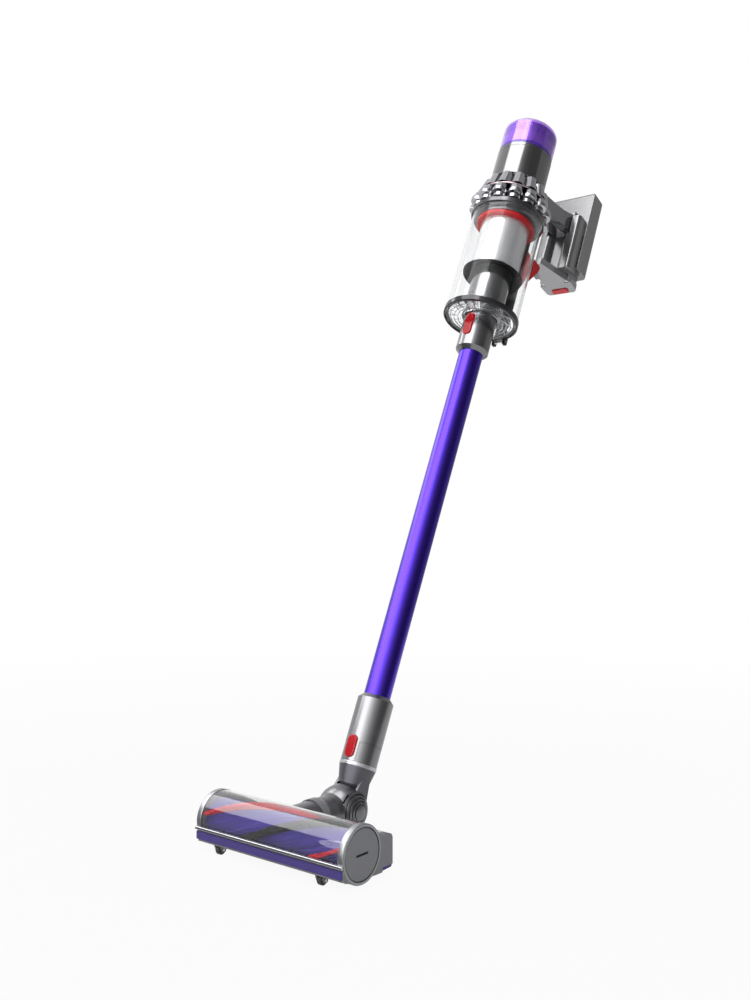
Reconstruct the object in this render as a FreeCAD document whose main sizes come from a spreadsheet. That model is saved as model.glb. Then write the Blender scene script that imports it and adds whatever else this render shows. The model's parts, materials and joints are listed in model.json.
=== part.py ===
"""Cordless stick vacuum, held out for use: handheld, wand, elbow and powered floor head.

World frame: +Z up, +X to the right, the stick leans back towards +Y. The origin is on the
floor under the axis of the brush roller. Everything above the elbow is built upright in
its own frame and leaned back by one placement.
"""
import FreeCAD, Part
import Sketcher
import math
import os
import re

SIZES = {
    # layout
    "lean": 24.89, "pivot_y": 108.0, "duct_height": 43.0, "wand_setback": 7.6,
    "run_gap": 0.3, "seat_gap": 0.1, "pin_gap": 0.08,
    # brush roller and its chamber
    "roller_height": 36.0, "head_half_width": 125.0, "cheek_thickness": 6.0, "chamber_radius": 33.5,
    "window_wall": 1.4, "bristle_radius": 33.0, "fabric_radius": 25.5, "core_radius": 22.5,
    "core_bore": 19.0, "brush_motor_radius": 17.0, "brush_motor_length": 92.0,
    "bristle_strip_width": 3.6, "helix_turns": 0.55, "end_cap_radius": 31.3, "coin_slot_width": 3.0,
    "bearing_radius": 11.0, "bearing_bore": 6.0, "bearing_width": 9.0,
    # head shell
    "bar_front": 38.0, "bar_thickness": 3.4, "bar_low": 27.0, "bar_high": 31.0,
    "felt_low": 15.0, "felt_high": 25.0, "felt_thickness": 2.0, "lip_front": 36.5, "lip_low": 7.0,
    "rear_wall": 33.9, "head_rear": 58.3, "rear_top": 50.0, "rear_bottom": 7.0, "rear_seam": 31.5,
    "wing_rear": 47.0, "hood_thickness": 1.6, "side_plate_front": 28.0,
    "rear_felt_front": 39.0, "rear_felt_height": 3.5, "rear_bristle_width": 3.0, "rear_bristle_reach": 98.0,
    # suction duct and swivel
    "duct_radius": 24.0, "duct_wall": 3.5, "duct_end": 61.2, "collar_length": 17.0, "duct_bore": 17.0,
    "swivel_spigot_length": 9.0,
    # wheels
    "front_wheel_radius": 6.5, "front_wheel_width": 7.0, "front_wheel_x": 87.0, "front_wheel_y": 28.0,
    "rear_wheel_radius": 5.5, "rear_wheel_width": 12.0, "rear_wheel_x": 62.0, "rear_wheel_y": 49.0,
    "axle_radius": 1.5, "axle_boss": 3.0,
    # elbow
    "ball_radius": 33.7, "slot_half_width": 21.3, "slot_front": 24.0, "ear_groove_pitch": 4.0,
    "ear_groove_width": 1.8, "ear_groove_depth": 1.5, "ear_groove_inner": 10.0,
    "ear_groove_count": 4.0, "barrel_radius": 27.0, "barrel_wall": 4.5,
    "barrel_half_width": 17.2, "rib_pitch": 4.3, "rib_depth": 2.0, "fork_thickness": 3.4,
    "fork_radius": 22.0, "fork_arm_half": 7.5, "elbow_pin_radius": 4.0,
    "elbow_pin_length": 11.0, "hose_radius": 17.0, "hose_bore": 15.5,
    # neck and wand
    "neck_foot": 33.5, "neck_foot_radius": 20.0, "neck_shoulder": 57.0, "neck_radius": 25.2,
    "neck_length": 87.9, "neck_bore": 17.0, "spigot_radius": 21.6, "spigot_length": 34.0,
    "band_width": 4.6, "band_depth": 0.6, "band_proud": 0.6,
    "wand_length": 681.5, "tube_radius": 18.8, "tube_wall": 1.2, "cuff_radius": 25.4,
    "lower_cuff_length": 68.0, "cuff_chamfer": 6.0, "tab_half_width": 10.5, "tab_low": 62.0,
    "latch_half_width": 7.4, "latch_length": 30.0, "latch_thickness": 3.5, "latch_proud": 2.1,
    "latch_low": 65.9, "upper_cuff_radius": 25.75, "upper_cuff_drop": 62.3, "upper_cuff_rise": 38.0,
    "upper_latch_low": 39.5, "upper_latch_length": 38.0, "upper_latch_thickness": 5.0,
    # inlet duct and shroud
    "inlet_radius": 31.0, "inlet_low": 4.8, "inlet_bore": 17.5, "skirt_top": 90.0,
    "skirt_radius": 48.7, "skirt_drop": 6.5, "shroud_radius": 39.5, "shroud_wall": 1.2,
    "seal_low": 175.2, "seal_radius": 48.0, "collar_low": 181.8, "collar_radius": 60.0,
    # bin
    "bin_radius": 57.4, "bin_wall": 2.0, "bin_low": 5.0, "bin_top": 189.2, "rim_radius": 60.0,
    "rim_height": 8.5, "flap_hole_radius": 29.5, "flap_low": 0.8, "flap_thickness": 2.4,
    "flap_rib_height": 1.2, "hinge_t": 62.8, "hinge_z": 0.6, "hinge_half_width": 12.0,
    "knuckle_half_width": 7.5, "knuckle_radius": 3.1, "hinge_pin_radius": 1.5,
    "hinge_block_back": 66.5, "hinge_block_low": 6.0,
    "runner_half_width": 9.5, "runner_back": 66.0, "runner_top": 197.0, "runner_notch": 2.2,
    "lever_half_width": 11.6, "lever_low": 99.5, "lever_high": 176.5, "lever_reach": 104.0,
    # cyclones
    "pack_low": 198.5, "pack_top": 257.8, "core_low_radius": 50.0, "waist_radius": 45.9,
    "core_top_radius": 40.0, "waist_z": 222.7, "cone_count": 14.0, "drum_radius": 10.8,
    "drum_centre": 52.0, "bulb_radius": 12.6, "bulb_centre": 57.0, "bulb_rise": 6.0,
    "bulb_tilt": 14.6, "bulb_length": 15.2, "bulb_end_radius": 11.0, "cone_radius": 11.6,
    "cone_centre": 48.5, "cone_tilt": 10.6, "cone_length": 25.0, "cone_top_radius": 9.2,
    "cone_tip_length": 4.0, "cone_tip_radius": 5.0, "trim_radius": 61.0, "trim_thickness": 2.2,
    # motor and filter
    "motor_radius": 45.5, "motor_wall": 2.5, "motor_top": 314.5, "motor_floor": 3.0,
    "web_z": 292.0, "web_thickness": 3.0, "stator_radius": 24.2, "stator_low": 281.0,
    "stator_top": 311.0, "shaft_radius": 2.5, "shaft_low": 262.5, "shaft_top": 314.0,
    "impeller_radius": 31.0, "impeller_z": 277.0, "impeller_plate": 1.6, "blade_height": 12.0,
    "blade_thickness": 1.4, "blade_count": 9.0, "filter_ring_height": 5.6, "filter_lip": 7.0,
    "filter_top": 374.0, "filter_wall": 2.2, "filter_corner": 7.0, "element_radius": 40.5,
    "element_bore": 27.0, "element_top": 365.0, "pleat_depth": 4.5, "pleat_count": 24.0,
    # grip and trigger
    "rake": 13.7, "grip_t": 60.0, "grip_z": 278.0, "grip_length": 96.0, "grip_half_width": 17.5,
    "grip_half_height": 20.6, "grip_end_half_width": 22.0, "grip_end_half_height": 22.5,
    "grip_root_half_height": 23.5, "grip_facet": 7.5,
    "trigger_half_width": 6.0, "trigger_front": 72.0, "trigger_length": 20.0, "trigger_low": 252.5,
    "trigger_high": 269.5, "trigger_travel": 5.0,
    # battery
    "column_half_width": 37.5, "column_front": 145.0, "column_back": 167.0, "recess_half_width": 12.0,
    "recess_floor": 157.0, "column_low": 201.6, "column_top": 311.5, "column_round": 8.0,
    "yoke_half_width": 23.0, "yoke_top": 324.0, "tongue_half_width": 12.0, "tongue_half_height": 9.0,
    "tongue_length": 45.0, "foot_half_width": 42.0, "foot_low": 213.0, "foot_back": 204.0, "foot_top": 376.5,
    "foot_round": 9.0, "cell_radius": 9.2, "cell_length": 65.0, "cell_low": 215.5, "cell_pitch": 19.3,
    "column_cell_x": 25.5, "cap_low": 190.0, "cap_tip_t": 112.0, "cap_tip_half_width": 4.0,
    "cap_waist_half_width": 23.0, "cap_waist_t": 164.0, "cap_half_width": 30.0, "cap_side_t": 175.0,
    "cap_back": 203.0, "cap_back_half_width": 28.0, "cap_back_round": 7.0,
    "screw_radius": 3.2, "screw_t": 172.0, "battery_button_half_width": 15.0,
    "battery_button_front": 189.0, "battery_button_length": 11.0, "battery_button_proud": 2.0,
    "battery_button_height": 13.0,
}

doc = FreeCAD.newDocument("stick_vacuum")
sheet = doc.addObject("Spreadsheet::Sheet", "Sizes")
for row, (alias, number) in enumerate(SIZES.items(), 1):
    sheet.set("A%d" % row, alias)
    sheet.set("B%d" % row, str(number))
    sheet.setAlias("B%d" % row, alias)
doc.recompute()


# ---- working with the sheet -------------------------------------------------------------

def bound(text):
    """The expression that reads each named size from the sheet."""
    def prefix(match):
        return "Sizes." + match.group(0) if match.group(0) in SIZES else match.group(0)
    return re.sub(r"[a-z][a-z_]*", prefix, str(text))


def value(text):
    """The number that an expression in named sizes comes to."""
    return float(eval_sheet(bound(text)))


def eval_sheet(expression):
    answer = sheet.evalExpression(expression)
    return getattr(answer, "Value", answer)


def frame(origin, parent=None, turn_x=0.0):
    """A placement at (x, y, z), each an expression, turned about X, inside a parent frame."""
    base = FreeCAD.Vector(*[value(part) for part in origin])
    placed = FreeCAD.Placement(base, FreeCAD.Rotation(FreeCAD.Vector(1, 0, 0), turn_x))
    return parent.multiply(placed) if parent else placed


# ---- frames -----------------------------------------------------------------------------

FLOOR = frame(("0", "0", "0"))
ROLLER = frame(("0", "0", "roller_height"))
PIVOT = frame(("0", "pivot_y", "duct_height"))
LEANED_PIVOT = frame(("0", "pivot_y", "duct_height"), turn_x=-value("lean"))
STICK = frame(("0", "wand_setback", "0"), LEANED_PIVOT)
HANDHELD = frame(("0", "0", "neck_length + wand_length"), STICK)
GRIP = frame(("0", "grip_t", "grip_z"), HANDHELD, turn_x=value("rake"))


# ---- building blocks --------------------------------------------------------------------

def new_body(label, place=FLOOR):
    body = doc.addObject("PartDesign::Body", label)
    body.Label = label
    body.Placement = place
    return body


def attach(body, name, plane, offset="0"):
    """An empty sketch on one of the body's origin planes, moved along the plane's normal."""
    sketch = body.newObject("Sketcher::SketchObject", name)
    origin_plane = [item for item in body.Origin.OriginFeatures if item.Role == plane][0]
    sketch.AttachmentSupport = (origin_plane, [""])
    sketch.MapMode = "FlatFace"
    if offset != "0":
        sketch.setExpression("AttachmentOffset.Base.z", bound(offset))
    return sketch


def pin_point(sketch, item, end, across, up):
    """Ties one sketch point to its two named distances from the sketch's origin."""
    for kind, text, axis in (("DistanceX", across, -2), ("DistanceY", up, -1)):
        if abs(value(text)) < 1e-9:
            sketch.addConstraint(Sketcher.Constraint("PointOnObject", item, end, axis))
            continue
        row = sketch.addConstraint(Sketcher.Constraint(kind, -1, 1, item, end, value(text)))
        sketch.setExpression("Constraints[%d]" % row, bound(text))


def outline(body, name, plane, corners, offset="0"):
    """A closed outline through corners (across, up) or (across, up, corner radius)."""
    sketch = attach(body, name, plane, offset)
    spots = [FreeCAD.Vector(value(c[0]), value(c[1]), 0) for c in corners]
    count = len(corners)
    trims = []
    for index, corner in enumerate(corners):
        if len(corner) < 3:
            trims.append(0.0)
            continue
        before = spots[index - 1] - spots[index]
        after = spots[(index + 1) % count] - spots[index]
        half = before.getAngle(after) / 2
        trims.append(value(corner[2]) / math.tan(half))
    for index in range(count):
        start = spots[index]
        stop = spots[(index + 1) % count]
        along = (stop - start).normalize()
        line_start = start + along * trims[index]
        line_stop = stop - along * trims[(index + 1) % count]
        sketch.addGeometry(Part.LineSegment(line_start, line_stop))
    for index, corner in enumerate(corners):
        before = (index - 1) % count
        if not trims[index]:
            sketch.addConstraint(Sketcher.Constraint("Coincident", before, 2, index, 1))
            pin_point(sketch, index, 1, corner[0], corner[1])
            continue
        add_round(sketch, before, index, spots[index], corner)
    return sketch


def add_round(sketch, before, after, spot, corner):
    """Rounds the corner between two lines, keeping the sharp corner as the driving point."""
    first = sketch.Geometry[before].EndPoint
    last = sketch.Geometry[after].StartPoint
    radius = value(corner[2])
    inward = ((first + last) * 0.5 - spot).normalize()
    centre = spot + inward * math.hypot(radius, (first - spot).Length)
    begin = math.atan2(first.y - centre.y, first.x - centre.x)
    end = math.atan2(last.y - centre.y, last.x - centre.x)
    if (end - begin) % (2 * math.pi) > math.pi:
        begin, end = end, begin
    circle = Part.Circle(centre, FreeCAD.Vector(0, 0, 1), radius)
    arc = sketch.addGeometry(Part.ArcOfCircle(circle, begin, end))
    ends = (1, 2) if near(sketch.Geometry[arc].StartPoint, first) else (2, 1)
    sketch.addConstraint(Sketcher.Constraint("Tangent", before, 2, arc, ends[0]))
    sketch.addConstraint(Sketcher.Constraint("Tangent", arc, ends[1], after, 1))
    row = sketch.addConstraint(Sketcher.Constraint("Radius", arc, radius))
    sketch.setExpression("Constraints[%d]" % row, bound(corner[2]))
    sharp = sketch.addGeometry(Part.Point(spot), True)
    sketch.addConstraint(Sketcher.Constraint("PointOnObject", sharp, 1, before))
    sketch.addConstraint(Sketcher.Constraint("PointOnObject", sharp, 1, after))
    pin_point(sketch, sharp, 1, corner[0], corner[1])


def near(one, other):
    return (one - other).Length < 1e-6


def ring(body, name, plane, radius, across="0", up="0", offset="0"):
    """A circle with its centre at (across, up)."""
    sketch = attach(body, name, plane, offset)
    centre = FreeCAD.Vector(value(across), value(up), 0)
    sketch.addGeometry(Part.Circle(centre, FreeCAD.Vector(0, 0, 1), value(radius)))
    row = sketch.addConstraint(Sketcher.Constraint("Radius", 0, value(radius)))
    sketch.setExpression("Constraints[%d]" % row, bound(radius))
    pin_point(sketch, 0, 3, across, up)
    return sketch


def feature(body, kind, name, sketch):
    made = body.newObject("PartDesign::" + kind, name)
    made.Profile = sketch
    sketch.Visibility = False
    body.Tip = made
    return made


def turned(body, name, corners, plane="XZ_Plane", axis="V_Axis", kind="Revolution"):
    """A profile turned all the way round the sketch's vertical or horizontal axis."""
    sketch = outline(body, name + "_profile", plane, corners)
    made = feature(body, kind, name, sketch)
    made.ReferenceAxis = (sketch, [axis])
    made.Angle = 360
    return made


def raised(body, name, sketch, length, both_ways=False, kind="Pad", backwards=False):
    """A Pad or Pocket of the sketch, by a length or by that length split both ways."""
    made = feature(body, kind, name, sketch)
    if both_ways:
        made.SideType = "Symmetric"
    made.Reversed = backwards
    made.setExpression("Length", bound(length))
    return made


def bored(body, name, sketch, length, both_ways=False, backwards=False):
    return raised(body, name, sketch, length, both_ways, "Pocket", backwards)


def repeated(body, name, features, count, axis="Z_Axis"):
    """Copies of features spread evenly round one of the body's axes."""
    pattern = body.newObject("PartDesign::PolarPattern", name)
    pattern.Originals = features
    spin = [item for item in body.Origin.OriginFeatures if item.Role == axis][0]
    pattern.Axis = (spin, [""])
    pattern.Angle = 360
    pattern.setExpression("Occurrences", bound(count))
    body.Tip = pattern
    return pattern


def rounded(body, name, radius, chooser):
    """Rounds the edges of the body's last feature that the chooser picks."""
    doc.recompute()
    base = body.Tip
    names = ["Edge%d" % number for number, edge in enumerate(base.Shape.Edges, 1) if chooser(edge)]
    made = body.newObject("PartDesign::Fillet", name)
    made.Base = (base, names)
    made.setExpression("Radius", bound(radius))
    body.Tip = made
    return made


def rod(name, place, radius, length, toward=(0, 0, 1)):
    """A plain cylinder from its frame's origin along one direction of that frame."""
    made = doc.addObject("Part::Cylinder", name)
    made.setExpression("Radius", bound(radius))
    made.setExpression("Height", bound(length))
    spin = FreeCAD.Rotation(FreeCAD.Vector(0, 0, 1), FreeCAD.Vector(*toward))
    made.Placement = place.multiply(FreeCAD.Placement(FreeCAD.Vector(), spin))
    return made


def block(name, parent, low, size):
    """A plain box from its low corner, in a parent frame."""
    made = doc.addObject("Part::Box", name)
    for prop, text in zip(("Length", "Width", "Height"), size):
        made.setExpression(prop, bound(text))
    made.Placement = frame(low, parent)
    return made


def joined(name, items):
    made = doc.addObject("Part::MultiFuse", name)
    made.Shapes = items
    return made


def cut(name, base, tool):
    made = doc.addObject("Part::Cut", name)
    made.Base = base
    made.Tool = tool
    return made


def group(name, items):
    """Identical loose pieces kept together as one node."""
    made = doc.addObject("Part::Compound", name)
    made.Links = items
    return made


NODES = []


def node(item, label):
    """Names a finished piece and lists it for export."""
    item.Label = label
    NODES.append(item)
    return item


def mirrored_pair(label, place, radius, length, reach):
    """Two equal pins on one line along X, from reach outward on each side."""
    right = rod(label + "_right_rod", frame((reach, "0", "0"), place), radius, length, (1, 0, 0))
    left = rod(label + "_left_rod", frame(("-(%s)" % reach, "0", "0"), place), radius, length,
               (-1, 0, 0))
    return node(group(label + "_pair", [right, left]), label)


# ---- neck: cone, fork round the bellows, spigot into the wand ----------------------------

def make_neck():
    body = new_body("neck_tube", STICK)
    band_top = "neck_shoulder + band_width + 2 * seat_gap"
    turned(body, "cone", [
        ("0", "neck_foot"), ("neck_foot_radius", "neck_foot"), ("neck_radius", "neck_shoulder"),
        ("neck_radius - band_depth", "neck_shoulder"), ("neck_radius - band_depth", band_top),
        ("neck_radius", band_top), ("neck_radius", "neck_length"), ("spigot_radius", "neck_length"),
        ("spigot_radius", "neck_length + spigot_length"), ("0", "neck_length + spigot_length")])
    disc = ring(body, "fork_disc_circle", "YZ_Plane", "fork_radius", "-wand_setback", "0")
    fork_width = "2 * (barrel_half_width + run_gap + fork_thickness)"
    raised(body, "fork_discs", disc, fork_width, both_ways=True)
    arm = outline(body, "fork_arm_outline", "YZ_Plane", [
        ("-wand_setback - 0.75 * fork_radius", "0"), ("fork_radius - wand_setback", "0"),
        ("fork_arm_half", "neck_foot + 10"), ("-fork_arm_half", "neck_foot + 10")])
    raised(body, "fork_arms", arm, fork_width, both_ways=True)
    middle = outline(body, "bellows_space_outline", "YZ_Plane", [
        ("-60", "-60"), ("60", "-60"), ("60", "neck_foot"), ("-60", "neck_foot")])
    bored(body, "bellows_space", middle, "2 * (barrel_half_width + run_gap)", both_ways=True)
    bore = ring(body, "air_bore_circle", "XY_Plane", "neck_bore")
    bored(body, "air_bore", bore, "2 * (neck_length + spigot_length) + 2", both_ways=True)
    hole = ring(body, "pin_hole_circle", "YZ_Plane", "elbow_pin_radius + pin_gap / 2", "-wand_setback")
    bored(body, "pin_holes", hole, "80", both_ways=True)
    tab_inside = "sqrt((spigot_radius + run_gap)^2 - tab_half_width^2)"
    notch = outline(body, "tab_notch_outline", "XZ_Plane", [
        ("-tab_half_width - run_gap", "tab_low - run_gap"), ("tab_half_width + run_gap", "tab_low - run_gap"),
        ("tab_half_width + run_gap", "neck_length + 0.01"), ("-tab_half_width - run_gap", "neck_length + 0.01")],
        offset=tab_inside + " - run_gap")
    bored(body, "tab_notch", notch, "neck_radius", backwards=True)
    node(body, "neck_tube")

    band = new_body("neck_band", STICK)
    low = "neck_shoulder + seat_gap"
    turned(band, "hoop", [
        ("neck_radius - band_depth + seat_gap", low), ("neck_radius + band_proud", low),
        ("neck_radius + band_proud", low + " + band_width"),
        ("neck_radius - band_depth + seat_gap", low + " + band_width")])
    node(band, "neck_band")


def make_bellows():
    """Ribbed barrel round the elbow axis, with a spout up into the neck's cone."""
    body = new_body("bellows_barrel", LEANED_PIVOT)
    inner = "barrel_radius - barrel_wall"
    valley = "barrel_radius - rib_depth"
    ribs = int(2 * value("barrel_half_width") // value("rib_pitch"))
    start = "-(%d * rib_pitch) / 2" % ribs
    profile = [("-barrel_half_width", inner), ("-barrel_half_width", valley)]
    for number in range(ribs):
        left = "%s + %d * rib_pitch" % (start, number)
        profile.append((left + " + 0.15 * rib_pitch", valley))
        profile.append((left + " + 0.35 * rib_pitch", "barrel_radius"))
        profile.append((left + " + 0.65 * rib_pitch", "barrel_radius"))
        profile.append((left + " + 0.85 * rib_pitch", valley))
    profile += [("barrel_half_width", valley), ("barrel_half_width", inner)]
    turned(body, "ribs", profile, axis="H_Axis")
    spout = rod("hose_spout", frame(("0", "0", "8"), STICK), "hose_radius", "neck_foot - 8 - run_gap")
    whole = joined("bellows_whole", [body, spout])
    up_bore = rod("hose_up_bore", STICK, "hose_bore", "neck_foot + 1")
    down_bore = rod("hose_front_bore", PIVOT, "hose_bore", "barrel_radius + 5", (0, -1, 0))
    node(cut("bellows_cut", whole, joined("hose_bores", [up_bore, down_bore])), "elbow_bellows")
    mirrored_pair("elbow_pins", LEANED_PIVOT, "elbow_pin_radius", "elbow_pin_length",
                  "barrel_half_width + run_gap + 0.3")


# ---- elbow: the ball housing between two ears, and its swivel collar ---------------------

def make_elbow():
    ball = doc.addObject("Part::Sphere", "ball")
    ball.setExpression("Radius", bound("ball_radius"))
    ball.Placement = PIVOT
    root = doc.addObject("Part::Cone", "ball_root")
    root.setExpression("Radius1", bound("duct_radius"))
    root.setExpression("Radius2", bound("ball_radius - 2.5"))
    collar_end = "duct_end + run_gap + collar_length"
    root.setExpression("Height", bound("(pivot_y - %s - seat_gap) * 0.55" % collar_end))
    toward_back = FreeCAD.Rotation(FreeCAD.Vector(1, 0, 0), -90)
    root.Placement = frame(("0", collar_end + " + seat_gap", "duct_height"))
    root.Placement.Rotation = toward_back
    solid = joined("ball_solid", [ball, root])

    space = rod("barrel_space", frame(("-slot_half_width", "0", "0"), PIVOT),
                "barrel_radius + run_gap + 0.1", "2 * slot_half_width", (1, 0, 0))
    slot = new_body("neck_slot", PIVOT)
    wedge = outline(slot, "slot_outline", "YZ_Plane", [
        ("0", "0"), ("-slot_front", "50"), ("80", "50"), ("80", "-80"), ("52", "-80")])
    raised(slot, "slot_wedge", wedge, "2 * slot_half_width", both_ways=True)
    bore = rod("elbow_bore", PIVOT, "duct_bore", "60", (0, -1, 0))
    pin_reach = "barrel_half_width + run_gap + 0.3 + elbow_pin_length + run_gap"
    pins = rod("ear_holes", frame(("-(%s)" % pin_reach, "0", "0"), PIVOT),
               "elbow_pin_radius + pin_gap", "2 * (%s)" % pin_reach, (1, 0, 0))
    tools = joined("elbow_tools", [space, slot, bore, pins, ear_grooves()])
    node(cut("ball_cut", solid, tools), "ball_housing")

    collar = new_body("swivel_collar", PIVOT)
    near_end = "pivot_y - duct_end - run_gap"
    far_end = "pivot_y - %s" % collar_end.replace(" + ", " - ")
    spigot = "duct_radius - duct_wall - run_gap"
    turned(collar, "swivel_ring", [
        ("-(%s)" % far_end, "duct_bore"), ("-(%s)" % far_end, "duct_radius"),
        ("-(%s)" % near_end, "duct_radius"), ("-(%s)" % near_end, spigot),
        ("-(%s + swivel_spigot_length)" % near_end, spigot),
        ("-(%s + swivel_spigot_length)" % near_end, "duct_bore")],
        plane="YZ_Plane", axis="H_Axis")
    node(collar, "swivel_collar")


def ear_grooves():
    """Round grooves about the pin line, cut a little way into the ball on both sides."""
    tubes = []
    for number in range(int(value("ear_groove_count"))):
        inner = "ear_groove_inner + %d * ear_groove_pitch" % number
        place = frame(("-ball_radius", "0", "0"), PIVOT)
        wide = rod("groove_outside_%d" % number, place, inner + " + ear_groove_width", "2 * ball_radius",
                   (1, 0, 0))
        hub = rod("groove_inside_%d" % number, place, inner, "2 * ball_radius", (1, 0, 0))
        tubes.append(cut("groove_tube_%d" % number, wide, hub))
    kept = doc.addObject("Part::Sphere", "groove_floor")
    kept.setExpression("Radius", bound("ball_radius - ear_groove_depth"))
    kept.Placement = PIVOT
    return cut("ear_grooves", joined("groove_tubes", tubes), kept)


# ---- wand: tube, two cuffs and their latch buttons ---------------------------------------

def make_wand():
    socket_top = "neck_length + spigot_length + run_gap"
    tube_low = socket_top + " + 1"
    inlet = "neck_length + wand_length"

    tube = new_body("wand_tube", STICK)
    tube_top = inlet + " + upper_cuff_rise - 18"
    turned(tube, "pipe", [
        ("tube_radius - tube_wall", tube_low), ("tube_radius", tube_low),
        ("tube_radius", tube_top), ("tube_radius - tube_wall", tube_top)])
    node(tube, "wand_tube")

    lower = new_body("wand_lower_cuff", STICK)
    cuff_top = "neck_length + lower_cuff_length"
    turned(lower, "sleeve", [
        ("spigot_radius + run_gap", "tab_low"), ("cuff_radius", "tab_low"),
        ("cuff_radius", cuff_top + " - cuff_chamfer"), ("cuff_radius - cuff_chamfer", cuff_top),
        ("tube_radius + seat_gap", cuff_top), ("tube_radius + seat_gap", socket_top),
        ("spigot_radius + run_gap", socket_top)])
    wide = "2 * cuff_radius"
    around = outline(lower, "around_tab_outline", "XY_Plane", [
        ("-(%s)" % wide, "-(%s)" % wide), ("-tab_half_width", "-(%s)" % wide), ("-tab_half_width", "0"),
        ("tab_half_width", "0"), ("tab_half_width", "-(%s)" % wide), (wide, "-(%s)" % wide),
        (wide, wide), ("-(%s)" % wide, wide)], offset="neck_length + run_gap")
    bored(lower, "around_tab", around, "neck_length + run_gap - tab_low + 1")
    latch_opening(lower, "latch_low", "latch_low + latch_length", "0", "cuff_radius + 5")
    node(lower, "wand_lower_cuff")

    upper = new_body("wand_upper_cuff", STICK)
    low = inlet + " - upper_cuff_drop"
    top = inlet + " + upper_cuff_rise"
    turned(upper, "sleeve", [
        ("tube_radius + seat_gap", low), ("upper_cuff_radius - cuff_chamfer", low),
        ("upper_cuff_radius", low + " + cuff_chamfer"), ("upper_cuff_radius", top + " - 2"),
        ("upper_cuff_radius - 1", top), ("inlet_bore", top), ("inlet_bore", tube_top + " + 0.2"),
        ("tube_radius + seat_gap", tube_top + " + 0.2")])
    latch_opening(upper, inlet + " - upper_latch_low",
                  inlet + " - upper_latch_low + upper_latch_length",
                  "tube_radius + 1.6", "upper_latch_thickness + 5")
    node(upper, "wand_upper_cuff")

    latch_button("lower_latch_button", "latch_low", "latch_length", "cuff_radius", "latch_thickness")
    latch_button("upper_latch_button", inlet + " - upper_latch_low", "upper_latch_length",
                 "upper_cuff_radius", "upper_latch_thickness")


def latch_opening(body, low, high, floor, depth):
    """A stadium-shaped window through the front of a cuff, for its latch button."""
    half = "latch_half_width + run_gap"
    window = outline(body, "latch_outline", "XZ_Plane", [
        ("-(%s)" % half, low + " - run_gap", half + " - 1"),
        (half, low + " - run_gap", half + " - 1"),
        (half, high + " + run_gap", half + " - 1"),
        ("-(%s)" % half, high + " + run_gap", half + " - 1")], offset=floor)
    bored(body, "latch_window", window, depth, backwards=True)


def latch_button(label, low, length, cuff, thickness):
    """A stadium-shaped button with an easy edge, standing proud of its cuff."""
    body = new_body(label, STICK)
    high = "%s + %s" % (low, length)
    sketch = outline(body, "button_outline", "XZ_Plane", [
        ("-latch_half_width", low, "latch_half_width - 1"),
        ("latch_half_width", low, "latch_half_width - 1"),
        ("latch_half_width", high, "latch_half_width - 1"),
        ("-latch_half_width", high, "latch_half_width - 1")],
        offset=cuff + " + latch_proud - " + thickness)
    raised(body, "button_pad", sketch, thickness)
    front = -value(cuff + " + latch_proud")
    rounded(body, "button_edge", "1.2", lambda edge: abs(edge.BoundBox.YMin - front) < 0.01
            and abs(edge.BoundBox.YMax - front) < 0.01)
    node(body, label)


# ---- inlet duct, skirt, shroud, seal and collar ------------------------------------------

def make_inlet():
    duct = new_body("inlet_duct", HANDHELD)
    socket_top = "upper_cuff_rise + run_gap"
    socket = "upper_cuff_radius + run_gap"
    duct_top = "collar_low - seat_gap"
    turned(duct, "duct", [
        (socket, "inlet_low"), ("inlet_radius", "inlet_low"), ("inlet_radius", duct_top),
        ("inlet_bore", duct_top), ("inlet_bore", socket_top), (socket, socket_top)])
    node(duct, "inlet_duct")

    skirt = new_body("shroud_skirt", HANDHELD)
    hub = "inlet_radius + seat_gap"
    lip = "skirt_top - skirt_drop"
    turned(skirt, "skirt", [
        (hub, "skirt_top - 2.8"), ("shroud_radius - 1.3", "skirt_top - 2.8"),
        ("skirt_radius - 1.1", lip + " - 1.6"), ("skirt_radius", lip),
        ("shroud_radius + 1.5", "skirt_top"), (hub, "skirt_top")])
    node(skirt, "shroud_skirt")

    shroud = new_body("shroud", HANDHELD)
    low = "skirt_top + seat_gap"
    turned(shroud, "screen", [
        ("shroud_radius - shroud_wall", low), ("shroud_radius", low),
        ("shroud_radius", duct_top), ("shroud_radius - shroud_wall", duct_top)])
    node(shroud, "shroud")

    seal = new_body("seal_ring", HANDHELD)
    bore = "shroud_radius + seat_gap"
    turned(seal, "seal", [
        (bore, "seal_low"), ("seal_radius - 1", "seal_low"), ("seal_radius", "seal_low + 1.2"),
        ("seal_radius", duct_top + " - 1.2"), ("seal_radius - 1", duct_top), (bore, duct_top)])
    node(seal, "seal_ring")

    collar = new_body("cyclone_collar", HANDHELD)
    plug = "bin_radius - bin_wall - run_gap"
    flange = "bin_top + run_gap"
    turned(collar, "collar", [
        ("inlet_bore", "collar_low"), ("seal_radius", "collar_low"),
        ("seal_radius + 1.5", "collar_low + 2.7"), (plug, "collar_low + 4.6"), (plug, flange),
        ("collar_radius", flange), ("collar_radius", "pack_low - 1.3"),
        ("collar_radius - 1.2", "pack_low - seat_gap"), ("inlet_bore", "pack_low - seat_gap")])
    node(collar, "cyclone_collar")


# ---- cyclone pack: two tiers of cones round a core, a trim ring between ------------------

def leaning(centre, low, tilt, stations):
    """Profile points beside an axis that leans inward from (centre, low) as it rises."""
    points = []
    for rise, radius in stations:
        across = "%s - (%s) * sin(%s) + (%s) * cos(%s)" % (centre, rise, tilt, radius, tilt)
        up = "%s + (%s) * cos(%s) + (%s) * sin(%s)" % (low, rise, tilt, radius, tilt)
        points.append((across, up))
    return points


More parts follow.
